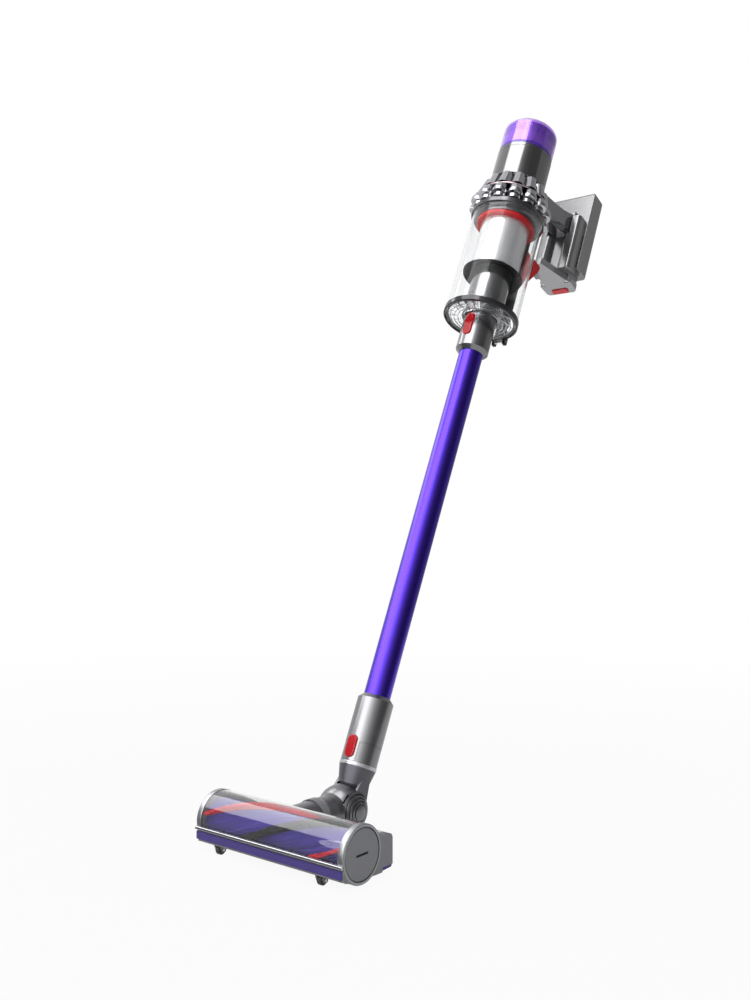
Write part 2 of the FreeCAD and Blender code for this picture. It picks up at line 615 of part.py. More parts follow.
def leaning_cone(body, name, centre, low, tilt, stations):
    """A round form turned about its own leaning axis, at the +X side of the pack."""
    sketch = outline(body, name + "_profile", "XZ_Plane", leaning(centre, low, tilt, stations))
    foot = sketch.Geometry[0].StartPoint
    tip = sketch.Geometry[len(stations) - 1].StartPoint
    axis = sketch.addGeometry(Part.LineSegment(foot, tip), True)
    sketch.addConstraint(Sketcher.Constraint("Coincident", axis, 1, 0, 1))
    sketch.addConstraint(Sketcher.Constraint("Coincident", axis, 2, len(stations) - 1, 1))
    made = feature(body, "Revolution", name, sketch)
    made.ReferenceAxis = (sketch, ["Axis0"])
    made.Angle = 360
    return made


def make_cyclones():
    pack = new_body("cyclone_pack", HANDHELD)
    turned(pack, "core", [
        ("inlet_bore", "pack_low"), ("core_low_radius", "pack_low"),
        ("core_low_radius", "pack_low + bulb_rise"), ("waist_radius", "waist_z"),
        ("waist_radius", "waist_z + trim_thickness + 4 * seat_gap"), ("core_top_radius", "pack_top"),
        ("inlet_bore", "pack_top")])
    drum_circle = ring(pack, "drum_circle", "XY_Plane", "drum_radius", "drum_centre", "0", "pack_low")
    drum = raised(pack, "drum", drum_circle, "bulb_rise")
    bulb = leaning_cone(pack, "bulb", "bulb_centre", "pack_low + bulb_rise", "bulb_tilt", [
        ("0", "0"), ("0", "bulb_radius - 1.5"), ("bulb_length / 4", "bulb_radius"),
        ("bulb_length", "bulb_end_radius"), ("bulb_length", "0")])
    cone_low = "waist_z + trim_thickness + 4 * seat_gap + cone_radius * sin(cone_tilt) + seat_gap"
    cone = leaning_cone(pack, "cone", "cone_centre", cone_low, "cone_tilt", [
        ("0", "0"), ("0", "cone_radius"), ("cone_length", "cone_top_radius"),
        ("cone_length + cone_tip_length", "cone_tip_radius"), ("cone_length + cone_tip_length", "0")])
    repeated(pack, "cyclones", [drum, bulb, cone], "cone_count")
    node(pack, "cyclone_pack")

    trim = new_body("cyclone_trim_ring", HANDHELD)
    bore = "waist_radius + seat_gap"
    low = "waist_z + 2 * seat_gap"
    turned(trim, "trim", [
        (bore, low), ("trim_radius - 0.8", low), ("trim_radius", low + " + 0.8"),
        ("trim_radius", low + " + trim_thickness"), (bore, low + " + trim_thickness")])
    node(trim, "cyclone_trim_ring")


# ---- motor: housing, stator, shaft and impeller -------------------------------------------

def make_motor():
    housing = new_body("motor_housing", HANDHELD)
    low = "pack_top + 2 * seat_gap"
    inside = "motor_radius - motor_wall"
    seat = "stator_radius + seat_gap"
    turned(housing, "can", [
        ("inlet_bore", low), ("motor_radius", low), ("motor_radius", "motor_top"),
        (inside, "motor_top"), (inside, "web_z + web_thickness"), (seat, "web_z + web_thickness"),
        (seat, "web_z"), (inside, "web_z"), (inside, low + " + motor_floor"),
        ("inlet_bore", low + " + motor_floor")])
    node(housing, "motor_housing")

    stator = new_body("motor_stator", HANDHELD)
    bore = "shaft_radius + pin_gap"
    turned(stator, "windings", [
        (bore, "stator_low"), ("stator_radius - 4", "stator_low"), ("stator_radius", "stator_low + 4"),
        ("stator_radius", "stator_top - 6"), ("stator_radius - 6", "stator_top"), (bore, "stator_top")])
    node(stator, "motor_stator")

    shaft = new_body("motor_shaft", HANDHELD)
    turned(shaft, "rod", [
        ("0", "shaft_low"), ("shaft_radius", "shaft_low"), ("shaft_radius", "shaft_top"),
        ("0", "shaft_top")])
    node(shaft, "motor_shaft")

    impeller = new_body("impeller", HANDHELD)
    eye = "shaft_radius + pin_gap / 2"
    turned(impeller, "plate", [
        (eye, "impeller_z - blade_height"), ("7", "impeller_z - blade_height"), ("12", "impeller_z - 2"),
        ("impeller_radius", "impeller_z"), ("impeller_radius", "impeller_z + impeller_plate"),
        (eye, "impeller_z + impeller_plate")])
    blade = outline(impeller, "blade_outline", "XY_Plane", [
        ("7", "-6"), ("impeller_radius - 3", "5"), ("impeller_radius - 3", "5 + blade_thickness"),
        ("7", "-6 + blade_thickness")], offset="impeller_z + impeller_plate / 2")
    first = raised(impeller, "blade", blade, "blade_height - 1", backwards=True)
    repeated(impeller, "blades", [first], "blade_count")
    node(impeller, "impeller")


# ---- filter: dark bayonet ring, translucent cap and pleated element -----------------------

def make_filter():
    ring_body = new_body("filter_ring", HANDHELD)
    low = "motor_top + run_gap"
    top = low + " + filter_ring_height"
    inside = "motor_radius - motor_wall - run_gap"
    turned(ring_body, "lock_ring", [
        (inside + " - 1.8", low + " - filter_lip"), (inside, low + " - filter_lip"), (inside, low),
        ("motor_radius", low), ("motor_radius", top), ("element_radius + 1", top),
        ("element_radius + 1", low), (inside + " - 1.8", low)])
    node(ring_body, "filter_ring")

    cap = new_body("filter_cap", HANDHELD)
    base = top + " + seat_gap"
    outer = "motor_radius - 0.5"
    turned(cap, "dome", [
        (outer + " - filter_wall", base), (outer, base), (outer, "filter_top", "filter_corner"),
        ("0", "filter_top"), ("0", "filter_top - filter_wall"),
        (outer + " - filter_wall", "filter_top - filter_wall", "filter_corner - filter_wall")])
    node(cap, "filter_cap")

    element = new_body("filter_element", HANDHELD)
    turned(element, "tube", [
        ("element_bore", low + " + 0.5"), ("element_radius - pleat_depth", low + " + 0.5"),
        ("element_radius - pleat_depth", "element_top"), ("element_bore", "element_top")])
    root = "element_radius - pleat_depth - 0.6"
    pleat = outline(element, "pleat_outline", "XY_Plane", [
        (root, "-pi * element_radius / pleat_count * 0.8"), ("element_radius", "-0.5"),
        ("element_radius", "0.5"), (root, "pi * element_radius / pleat_count * 0.8")],
        offset=low + " + 0.5")
    first = raised(element, "pleat", pleat, "element_top - (%s + 0.5)" % low)
    repeated(element, "pleats", [first], "pleat_count")
    node(element, "filter_element")


# ---- bin: clear wall, rim with its hinge, flap, runner and release lever ------------------

def make_bin():
    wall = new_body("bin_wall", HANDHELD)
    turned(wall, "clear_wall", [
        ("bin_radius - bin_wall", "bin_low"), ("bin_radius", "bin_low"),
        ("bin_radius", "bin_top"), ("bin_radius - bin_wall", "bin_top")])
    node(wall, "bin_wall")

    rim = new_body("bin_rim", HANDHELD)
    inside = "bin_radius + seat_gap"
    turned(rim, "rim", [
        (inside, "0"), ("rim_radius - 1", "0"), ("rim_radius", "1"), ("rim_radius", "rim_height"),
        (inside, "rim_height")])
    block_front = "bin_radius + 0.8"
    lump = outline(rim, "hinge_block_outline", "YZ_Plane", [
        (block_front, "-hinge_block_low + 2"), (block_front, "rim_height - 0.5"),
        ("hinge_block_back", "rim_height - 0.5", "2"), ("hinge_block_back", "-hinge_block_low", "2.5"),
        ("bin_radius + 3", "-hinge_block_low")])
    raised(rim, "hinge_block", lump, "2 * hinge_half_width", both_ways=True)
    slot = outline(rim, "knuckle_slot_outline", "YZ_Plane", [
        ("bin_radius - 8", "-hinge_block_low - 3"), ("bin_radius - 8", "bin_low - 0.4"),
        ("hinge_block_back + 3", "bin_low - 0.4"), ("hinge_block_back + 3", "-hinge_block_low - 3")])
    bored(rim, "knuckle_slot", slot, "2 * (knuckle_half_width + run_gap)", both_ways=True)
    hole = ring(rim, "pin_hole_circle", "YZ_Plane", "hinge_pin_radius + pin_gap / 2", "hinge_t", "hinge_z")
    bored(rim, "pin_hole", hole, "2 * hinge_half_width + 2", both_ways=True)
    node(rim, "bin_rim")

    pin = rod("flap_pin_rod", frame(("-hinge_half_width + 0.3", "hinge_t", "hinge_z"), HANDHELD),
              "hinge_pin_radius", "2 * (hinge_half_width - 0.3)", (1, 0, 0))
    node(pin, "flap_pin")

    flap = new_body("bin_flap", HANDHELD)
    top = "flap_low + flap_thickness"
    edge = "bin_radius - run_gap"
    turned(flap, "lid", [
        ("flap_hole_radius", "flap_low"), (edge + " - 0.8", "flap_low"), (edge, "flap_low + 0.8"),
        (edge, top), ("flap_hole_radius + 3", top), ("flap_hole_radius + 3", top + " + 0.8"),
        ("flap_hole_radius", top + " + 0.8")])
    rib = outline(flap, "rib_outline", "XY_Plane", [
        ("flap_hole_radius + 4", "-9"), ("bin_radius - 7", "8"), ("bin_radius - 7", "10"),
        ("flap_hole_radius + 4", "-7")], offset=top + " - 0.2")
    first = raised(flap, "rib", rib, "flap_rib_height + 0.2")
    repeated(flap, "ribs", [first], "12")
    arm = outline(flap, "arm_outline", "YZ_Plane", [
        ("bin_radius - 6", "flap_low"), ("hinge_t", "hinge_z - knuckle_radius + 0.6"),
        ("hinge_t", "hinge_z + knuckle_radius - 0.6"), ("bin_radius - 6", top)])
    raised(flap, "arm", arm, "2 * knuckle_half_width", both_ways=True)
    knuckle = ring(flap, "knuckle_circle", "YZ_Plane", "knuckle_radius", "hinge_t", "hinge_z")
    raised(flap, "knuckle", knuckle, "2 * knuckle_half_width", both_ways=True)
    eye = ring(flap, "eye_circle", "YZ_Plane", "hinge_pin_radius + pin_gap", "hinge_t", "hinge_z")
    bored(flap, "eye", eye, "4 * knuckle_half_width", both_ways=True)
    node(flap, "bin_flap")


def make_runner():
    runner = new_body("bin_runner", HANDHELD)
    front = "bin_radius + run_gap"
    shelf = "bin_top + run_gap - seat_gap"
    back_front = "collar_radius + seat_gap"
    rail = outline(runner, "rail_outline", "YZ_Plane", [
        (front, "rim_height + run_gap"), ("runner_back", "rim_height + run_gap"),
        ("runner_back", "runner_top"), (back_front, "runner_top"), (back_front, shelf), (front, shelf)])
    raised(runner, "rail", rail, "2 * runner_half_width", both_ways=True)
    side = outline(runner, "side_notch_outline", "XZ_Plane", [
        ("runner_half_width - runner_notch", "24"), ("runner_half_width + 1", "20"),
        ("runner_half_width + 1", "32"), ("runner_half_width - runner_notch", "28")],
        offset="-(%s) - 2.6" % front)
    bored(runner, "side_notch", side, "20", backwards=False)
    node(runner, "bin_runner")

    lever = new_body("bin_release_lever", HANDHELD)
    front = "runner_back - 3.5"
    fin = outline(lever, "fin_outline", "YZ_Plane", [
        (front, "lever_low"), ("lever_reach - 4", "lever_high - 17", "10"),
        ("lever_reach", "lever_high - 7", "3"), ("lever_reach - 2", "lever_high - 2", "2"),
        (front, "lever_high")])
    raised(lever, "fin", fin, "2 * lever_half_width", both_ways=True)
    half = "runner_half_width + run_gap"
    space = outline(lever, "runner_space_outline", "XY_Plane", [
        ("-(%s)" % half, front + " - 5"), (half, front + " - 5"), (half, "runner_back + run_gap"),
        ("-(%s)" % half, "runner_back + run_gap")])
    bored(lever, "runner_space", space, "2 * lever_high + 5", both_ways=True)
    node(lever, "bin_release_lever")


# ---- grip and trigger ----------------------------------------------------------------------

def grip_section(body, name, station, half_width, half_height):
    """Eight-sided section square to the raked grip."""
    facet = "grip_facet"
    wide = half_width
    tall = half_height
    return outline(body, name, "XZ_Plane", [
        ("-(%s) + %s" % (wide, facet), "-(%s)" % tall), ("%s - %s" % (wide, facet), "-(%s)" % tall),
        (wide, "-(%s) + %s" % (tall, facet)), (wide, "%s - %s" % (tall, facet)),
        ("%s - %s" % (wide, facet), tall), ("-(%s) + %s" % (wide, facet), tall),
        ("-(%s)" % wide, "%s - %s" % (tall, facet)), ("-(%s)" % wide, "-(%s) + %s" % (tall, facet))],
        offset="-(%s)" % station)


def make_grip():
    body = new_body("grip_body", GRIP)
    sections = [
        grip_section(body, "root_section", "-26", "grip_half_width", "grip_root_half_height"),
        grip_section(body, "front_section", "6", "grip_half_width", "grip_half_height + 0.8"),
        grip_section(body, "middle_section", "grip_length * 0.5", "grip_half_width", "grip_half_height"),
        grip_section(body, "end_section", "grip_length", "grip_end_half_width", "grip_end_half_height")]
    loft = body.newObject("PartDesign::AdditiveLoft", "handle")
    loft.Profile = sections[0]
    loft.Sections = sections[1:]
    body.Tip = loft
    half_width = "tongue_half_width + run_gap"
    half_height = "tongue_half_height + run_gap"
    mouth = outline(body, "tongue_bore_outline", "XZ_Plane", [
        ("-(%s)" % half_width, "-(%s)" % half_height), (half_width, "-(%s)" % half_height),
        (half_width, half_height), ("-(%s)" % half_width, half_height)], offset="-grip_length")
    bored(body, "tongue_bore", mouth, "tongue_length + 2", backwards=True)

    motor_space = rod("motor_space", frame(("0", "0", "pack_top"), HANDHELD),
                      "motor_radius + seat_gap", "200")
    cone_space = rod("cone_space", frame(("0", "0", "pack_low"), HANDHELD),
                     "cone_centre + 0.5 * cone_radius", "pack_top - pack_low + 2 * seat_gap")
    gap = "run_gap"
    pocket = block("trigger_pocket", HANDHELD,
                   ("-trigger_half_width - " + gap, "trigger_front - " + gap, "trigger_low"),
                   ("2 * trigger_half_width + 2 * run_gap", "trigger_length + 2 * run_gap",
                    "trigger_high - trigger_low + trigger_travel + 0.6"))
    tools = joined("grip_tools", [motor_space, cone_space, pocket])
    node(cut("grip_cut", body, tools), "grip")

    trigger = new_body("trigger", HANDHELD)
    back = "trigger_front + trigger_length"
    shape = outline(trigger, "trigger_outline", "YZ_Plane", [
        ("trigger_front", "trigger_low + 3"), ("trigger_front + 4", "trigger_low", "2"),
        (back + " - 3", "trigger_low", "2"), (back, "trigger_low + 3.5"), (back, "trigger_high"),
        ("trigger_front", "trigger_high")])
    raised(trigger, "trigger_pad", shape, "2 * trigger_half_width", both_ways=True)
    node(trigger, "trigger")


# ---- battery: case with two columns and a tongue, foot, end cap, cells, button -------------

def make_battery():
    columns = new_body("battery_columns", HANDHELD)
    plan = outline(columns, "columns_outline", "XY_Plane", [
        ("-column_half_width", "column_back"), ("-column_half_width", "column_front", "column_round"),
        ("-recess_half_width", "column_front", "column_round"), ("-recess_half_width", "recess_floor"),
        ("recess_half_width", "recess_floor"), ("recess_half_width", "column_front", "column_round"),
        ("column_half_width", "column_front", "column_round"), ("column_half_width", "column_back")],
        offset="column_low")
    raised(columns, "columns", plan, "column_top - column_low")
    yoke = outline(columns, "yoke_outline", "YZ_Plane", [
        ("column_front + 3", "column_top - 30"), ("column_back", "column_top - 30"),
        ("column_back", "yoke_top"), ("column_front + 3", "yoke_top", "3")])
    raised(columns, "yoke", yoke, "2 * yoke_half_width", both_ways=True)
    cell_space = outline(columns, "cell_space_outline", "XY_Plane", [
        ("column_cell_x - cell_radius - run_gap", "column_front + 2.2", "cell_radius - 1"),
        ("column_cell_x + cell_radius + run_gap", "column_front + 2.2", "cell_radius - 1"),
        ("column_cell_x + cell_radius + run_gap", "column_back + 1"),
        ("column_cell_x - cell_radius - run_gap", "column_back + 1")], offset="cell_low - run_gap")
    right = bored(columns, "cell_space", cell_space, "cell_length + 2 * run_gap", backwards=True)
    both = columns.newObject("PartDesign::Mirrored", "cell_spaces")
    both.Originals = [right]
    side = [item for item in columns.Origin.OriginFeatures if item.Role == "YZ_Plane"][0]
    both.MirrorPlane = (side, [""])
    columns.Tip = both

    wide = "grip_end_half_width + run_gap"
    tall = "grip_end_half_height + run_gap"
    socket = block("grip_socket", GRIP, ("-(%s)" % wide, "grip_length - 60", "-(%s)" % tall),
                   ("2 * (%s)" % wide, "60 + run_gap", "2 * (%s)" % tall))
    hollow = cut("battery_hollow", columns, socket)
    tongue_tip = "grip_length - tongue_length"
    tongue = block("battery_tongue", GRIP, ("-tongue_half_width", tongue_tip, "-tongue_half_height"),
                   ("2 * tongue_half_width", "tongue_length + 4", "2 * tongue_half_height"))
    node(joined("battery_case_join", [hollow, tongue]), "battery_case")

    foot = new_body("battery_foot", HANDHELD)
    front = "column_back + seat_gap"
    plan = outline(foot, "foot_outline", "XY_Plane", [
        ("-foot_half_width", front), ("foot_half_width", front),
        ("foot_half_width", "foot_back", "foot_round"), ("-foot_half_width", "foot_back", "foot_round")],
        offset="foot_low")
    raised(foot, "foot", plan, "foot_top - foot_low")
    top = value("foot_top")
    rounded(foot, "foot_top_edge", "6", lambda edge: abs(edge.BoundBox.ZMin - top) < 0.01)
    room = "2 * (2 * cell_pitch + 0.5)"
    cavity = outline(foot, "cell_room_outline", "YZ_Plane", [
        ("column_back - 1", "cell_low - run_gap"), (front + " + 2 * cell_radius + 1", "cell_low - run_gap"),
        (front + " + 2 * cell_radius + 1", "cell_low + cell_length + run_gap"),
        ("column_back - 1", "cell_low + cell_length + run_gap")])
    bored(foot, "cell_room", cavity, room, both_ways=True)
    node(foot, "battery_foot")

    end_cap = new_body("battery_end_cap", HANDHELD)
    plan = outline(end_cap, "prow_outline", "XY_Plane", [
        ("-cap_tip_half_width", "cap_tip_t", "2"), ("cap_tip_half_width", "cap_tip_t", "2"),
        ("cap_waist_half_width", "cap_waist_t"), ("cap_half_width", "cap_side_t", "4"),
        ("cap_back_half_width", "cap_back", "cap_back_round"),
        ("-cap_back_half_width", "cap_back", "cap_back_round"),
        ("-cap_half_width", "cap_side_t", "4"), ("-cap_waist_half_width", "cap_waist_t")],
        offset="cap_low")
    raised(end_cap, "prow", plan, "column_low - cap_low - seat_gap")
    heel = outline(end_cap, "heel_outline", "XY_Plane", [
        ("-cap_back_half_width + 1", front), ("cap_back_half_width - 1", front),
        ("cap_back_half_width - 1", "cap_back - 1", "cap_back_round - 1"),
        ("-cap_back_half_width + 1", "cap_back - 1", "cap_back_round - 1")], offset="cap_low + 2")
    raised(end_cap, "heel", heel, "foot_low - cap_low - 2 - seat_gap")
    button_hole = outline(end_cap, "button_hole_outline", "XY_Plane", button_plan("run_gap"),
                          offset="cap_low - 1")
    bored(end_cap, "button_hole", button_hole, "40", backwards=True)
    first = ring(end_cap, "boss_circle", "XY_Plane", "screw_radius + run_gap",
                 "cap_waist_half_width", "screw_t", "cap_low - 1")
    right = bored(end_cap, "boss_hole", first, "5", backwards=True)
    both = end_cap.newObject("PartDesign::Mirrored", "boss_holes")
    both.Originals = [right]
    side = [item for item in end_cap.Origin.OriginFeatures if item.Role == "YZ_Plane"][0]
    both.MirrorPlane = (side, [""])
    end_cap.Tip = both
    node(end_cap, "battery_end_cap")

    heads = []
    for side in ("cap_waist_half_width", "-cap_waist_half_width"):
        place = frame((side, "screw_t", "cap_low + 1"), HANDHELD)
        heads.append(rod("screw_head_%d" % len(heads), place, "screw_radius", "3 - seat_gap"))
    node(group("screw_heads", heads), "battery_screws")

    cells = []
    for step in (-1.5, -0.5, 0.5, 1.5):
        place = frame(("%s * cell_pitch" % step, front + " + cell_radius + 0.4", "cell_low"), HANDHELD)
        cells.append(rod("foot_cell_%d" % len(cells), place, "cell_radius", "cell_length"))
    for side in ("column_cell_x", "-column_cell_x"):
        place = frame((side, "column_front + 2.2 + run_gap + cell_radius", "cell_low"), HANDHELD)
        cells.append(rod("column_cell_%d" % len(cells), place, "cell_radius", "cell_length"))
    node(group("cell_group", cells), "battery_cells")

    button = new_body("battery_button", HANDHELD)
    plan = outline(button, "button_outline", "XY_Plane", button_plan("0"),
                   offset="cap_low - battery_button_proud")
    raised(button, "button", plan, "battery_button_height")
    node(button, "battery_button")


def button_plan(gap):
    """Plan of the battery's release button, grown by a gap for its hole."""
    half = "battery_button_half_width + " + gap
    near_side = "battery_button_front - " + gap
    far_side = "battery_button_front + battery_button_length + " + gap
    return [("-(%s)" % half, near_side, "3"), (half, near_side, "3"), (half, far_side, "3"),
            ("-(%s)" % half, far_side, "3")]


# ---- floor head: chassis, covers, duct, window, bar and felts ------------------------------

def make_head_shell():
    chassis = new_body("chassis_body", FLOOR)
    inside = "head_half_width - cheek_thickness"
    felt_back = "-lip_front + felt_thickness + 0.2"
    felt_roof = "rear_bottom + rear_felt_height"
    beam = outline(chassis, "rear_beam_outline", "YZ_Plane", [
        ("rear_wall - 6", "rear_bottom - 1"), ("rear_wall - 2", "rear_bottom - 2"),
        ("rear_felt_front - run_gap", "rear_bottom - 2"),
        ("rear_felt_front - run_gap", felt_roof), ("head_rear", felt_roof),
        ("head_rear", "rear_seam - seat_gap"), ("rear_wall - 8", "rear_seam - seat_gap")])
    raised(chassis, "rear_beam", beam, "2 * (%s) + 2" % inside, both_ways=True)
    lip = outline(chassis, "front_lip_outline", "YZ_Plane", [
        (felt_back, "bar_high"), ("-chamber_radius + 2", "bar_high"),
        ("-20", "lip_low + 4"), ("-23.5", "lip_low"), ("-30", "lip_low + 3"), ("-lip_front", "felt_low - 2"),
        ("-lip_front", "felt_low - seat_gap"), (felt_back, "felt_low - seat_gap")])
    raised(chassis, "front_lip", lip, "2 * (%s) + 2" % inside, both_ways=True)
    chamber = ring(chassis, "chamber_circle", "YZ_Plane", "chamber_radius", "0", "roller_height")
    bored(chassis, "chamber", chamber, "2 * (%s)" % inside, both_ways=True)
    for side, sign in (("left", "-1"), ("right", "1")):
        cheek = ring(chassis, side + "_cheek_circle", "YZ_Plane", "chamber_radius + window_wall",
                     "0", "roller_height", offset="%s * (%s)" % (sign, inside))
        raised(chassis, side + "_cheek", cheek, "cheek_thickness", backwards=(side == "left"))
        toe = outline(chassis, side + "_toe_outline", "YZ_Plane", [
            (felt_back, "felt_low - 1"), ("-30", "lip_low + 3"), ("-20", "lip_low"), ("28", "rear_bottom - 2"),
            ("rear_felt_front - run_gap", "rear_bottom - 2"), ("rear_felt_front - run_gap", felt_roof),
            ("head_rear", felt_roof), ("head_rear", "rear_seam - seat_gap"),
            ("side_plate_front", "rear_seam - seat_gap"), ("20", "rear_seam + 8"), ("-20", "bar_high"),
            (felt_back, "bar_high - 5")],
            offset="%s * (%s)" % (sign, inside))
        raised(chassis, side + "_toe", toe, "cheek_thickness - 1", backwards=(side == "left"))
    door = ring(chassis, "roller_door_circle", "YZ_Plane", "end_cap_radius + run_gap", "0",
                "roller_height", offset=inside + " - 3")
    bored(chassis, "roller_door", door, "cheek_thickness + 10", backwards=True)
    for name, foot, top in (("front", "-front_wheel_y", "lip_low + 4"), ("rear", "rear_wheel_y", "rear_bottom + 5")):
        radius = name + "_wheel_radius"
        bracket_outline = outline(chassis, name + "_bracket_outline", "YZ_Plane", [
            (foot + " - %s + 1" % radius, top), (foot + " - 2.5", radius + " - 2.5"),
            (foot + " + 2.5", radius + " - 2.5"), (foot + " + %s - 1" % radius, top)],
            offset="%s_wheel_x - %s_wheel_width / 2 - axle_boss" % (name, name))
        bracket = raised(chassis, name + "_bracket", bracket_outline,
                         "%s_wheel_width + 2 * axle_boss" % name)
        pair = chassis.newObject("PartDesign::Mirrored", name + "_brackets")
        pair.Originals = [bracket]
        middle = [item for item in chassis.Origin.OriginFeatures if item.Role == "YZ_Plane"][0]
        pair.MirrorPlane = (middle, [""])
        chassis.Tip = pair
    duct_space = duct_form("duct_space", "seat_gap + 0.1")
    wheels = []
    for side in ("1", "-1"):
        for name in ("front", "rear"):
            y = "-front_wheel_y" if name == "front" else "rear_wheel_y"
            width = name + "_wheel_width"
            radius = name + "_wheel_radius"
            place = frame(("%s * %s_wheel_x - %s / 2 - 0.5" % (side, name, width), y, radius))
            wheels.append(rod("wheel_well_%s_%d" % (name, len(wheels)), place, radius + " + 0.6",
                              width + " + 1", (1, 0, 0)))
            reach = width + " / 2 + axle_boss"
            place = frame(("%s * %s_wheel_x - (%s)" % (side, name, reach), y, radius))
            wheels.append(rod("axle_hole_%s_%d" % (name, len(wheels)), place,
                              "axle_radius + pin_gap / 2", "2 * (%s)" % reach, (1, 0, 0)))
    tools = joined("chassis_tools", wheels + [duct_space])
    node(cut("chassis_cut", chassis, tools), "head_chassis")

    cover = new_body("rear_cover_body", FLOOR)
    shape = outline(cover, "rear_cover_outline", "YZ_Plane", [
        ("wing_rear + seat_gap", "rear_seam"), ("head_rear", "rear_seam"),
        ("head_rear", "rear_top - 3", "7"), ("wing_rear + seat_gap", "rear_top")])
    raised(cover, "rear_cover", shape, "2 * (head_half_width - 1)", both_ways=True)
    for side, sign in (("left", "-1"), ("right", "1")):
        plate = outline(cover, side + "_plate_outline", "YZ_Plane", [
            ("side_plate_front", "rear_seam"), ("wing_rear + 2", "rear_seam"), ("wing_rear + 2", "rear_top - 1"),
            ("side_plate_front", "rear_top")], offset="%s * (%s)" % (sign, inside))
        raised(cover, side + "_plate", plate, "cheek_thickness - 1", backwards=(side == "left"))
    cheek_space = ring(cover, "cheek_space_circle", "YZ_Plane", "chamber_radius + window_wall + seat_gap",
                       "0", "roller_height")
    bored(cover, "cheek_space", cheek_space, "2 * head_half_width + 2", both_ways=True)
    hood_zone = block("hood_zone", FLOOR, ("-head_half_width", "wing_rear + seat_gap", "rear_seam"),
                      ("2 * head_half_width", "head_rear - wing_rear - seat_gap", "100"))
    hood = doc.addObject("Part::MultiCommon", "duct_hood")
    hood.Shapes = [duct_form("hood_skin", "hood_thickness"), hood_zone]
    covered = joined("rear_cover_join", [cover, hood])
    node(cut("rear_cover_cut", covered, duct_form("rear_cover_space", "seat_gap + 0.1")), "head_rear_cover")

    wing = new_body("wing_body", FLOOR)
    shape = outline(wing, "wing_outline", "YZ_Plane", [
        ("rear_wall - 5.6", "rear_seam"), ("wing_rear", "rear_seam"), ("wing_rear", "rear_top"),
        ("rear_wall", "rear_top + 4"), ("rear_wall - 5.6", "rear_top + 6.4")])
    raised(wing, "wing", shape, "2 * (%s - seat_gap)" % inside, both_ways=True)
    chamber = ring(wing, "wing_chamber_circle", "YZ_Plane", "chamber_radius + window_wall + seat_gap",
                   "0", "roller_height")
    bored(wing, "wing_chamber", chamber, "2 * (%s) + 2" % inside, both_ways=True)
    node(cut("wing_cut", wing, duct_form("wing_space", "seat_gap + 0.1")), "head_wing")

    chamber_tool = rod("duct_chamber", frame(("-120", "0", "roller_height")),
                       "chamber_radius + window_wall + seat_gap", "240", (1, 0, 0))
    tools = joined("duct_tools", [duct_form("duct_hollow", "-duct_wall", "1"), chamber_tool])
    node(cut("duct_cut", duct_form("duct_outside", "0"), tools), "head_duct")


def duct_form(name, grow, past_end="0"):
    """The duct's round form, level, from over the roller back to the swivel."""
    return rod(name, frame(("0", "duct_end + " + past_end, "duct_height")), "duct_radius + " + grow,
               "duct_end + " + past_end, (0, -1, 0))


def make_head_trim():
    inside = "head_half_width - cheek_thickness"
    window = new_body("head_window", ROLLER)
    outer = "chamber_radius + window_wall"
    turned(window, "window", [
        ("-(%s) + seat_gap" % inside, "chamber_radius"), ("-(%s) + seat_gap" % inside, outer),
        (inside + " - seat_gap", outer), (inside + " - seat_gap", "chamber_radius")], axis="H_Axis")
    open_side = outline(window, "open_side_outline", "YZ_Plane", [
        ("0", "0"), ("rear_wall - 5.8", "rear_top + 6.4 - roller_height"), ("60", "rear_top + 14 - roller_height"),
        ("60", "-60"), ("-60", "-60"), ("-60", "bar_high + 0.3 - roller_height"),
        ("-33", "bar_high + 0.3 - roller_height")])
    bored(window, "open_side", open_side, "4 * head_half_width", both_ways=True)
    node(window, "head_window")

    bar = new_body("front_bar", FLOOR)
    shape = outline(bar, "bar_outline", "YZ_Plane", [
        ("-bar_front", "bar_low", "1.2"), ("-bar_front + bar_thickness", "bar_low"),
        ("-bar_front + bar_thickness", "bar_high"), ("-bar_front", "bar_high", "1.2")])
    raised(bar, "bar", shape, "2 * head_half_width", both_ways=True)
    node(bar, "front_bar")

    felt = new_body("front_felt", FLOOR)
    shape = outline(felt, "felt_outline", "YZ_Plane", [
        ("-lip_front", "felt_low"), ("-lip_front + felt_thickness", "felt_low"),
        ("-lip_front + felt_thickness", "felt_high"), ("-lip_front", "felt_high")])
    raised(felt, "felt", shape, "2 * (head_half_width - 1)", both_ways=True)
    node(felt, "front_felt")

    wheel_clear = "rear_wheel_width / 2 + axle_boss + 0.5"
    strips = [felt_strip("middle", "-rear_wheel_x + " + wheel_clear, "rear_wheel_x - (%s)" % wheel_clear)]
    strips.append(felt_strip("right", "rear_wheel_x + " + wheel_clear, "head_half_width - 2"))
    strips.append(felt_strip("left", "-head_half_width + 2", "-rear_wheel_x - (%s)" % wheel_clear))
    node(group("rear_felt_strips", strips), "rear_felt")

    row = new_body("rear_bristles", FLOOR)
    bristle_top = "rear_bottom - 2 - seat_gap"
    shape = outline(row, "bristle_outline", "YZ_Plane", [
        ("rear_wall - 0.5", "2"), ("rear_wall + rear_bristle_width", "2"),
        ("rear_wall + rear_bristle_width", bristle_top), ("rear_wall - 0.5", bristle_top)])
    raised(row, "bristles", shape, "2 * rear_bristle_reach", both_ways=True)
    node(row, "rear_bristles")


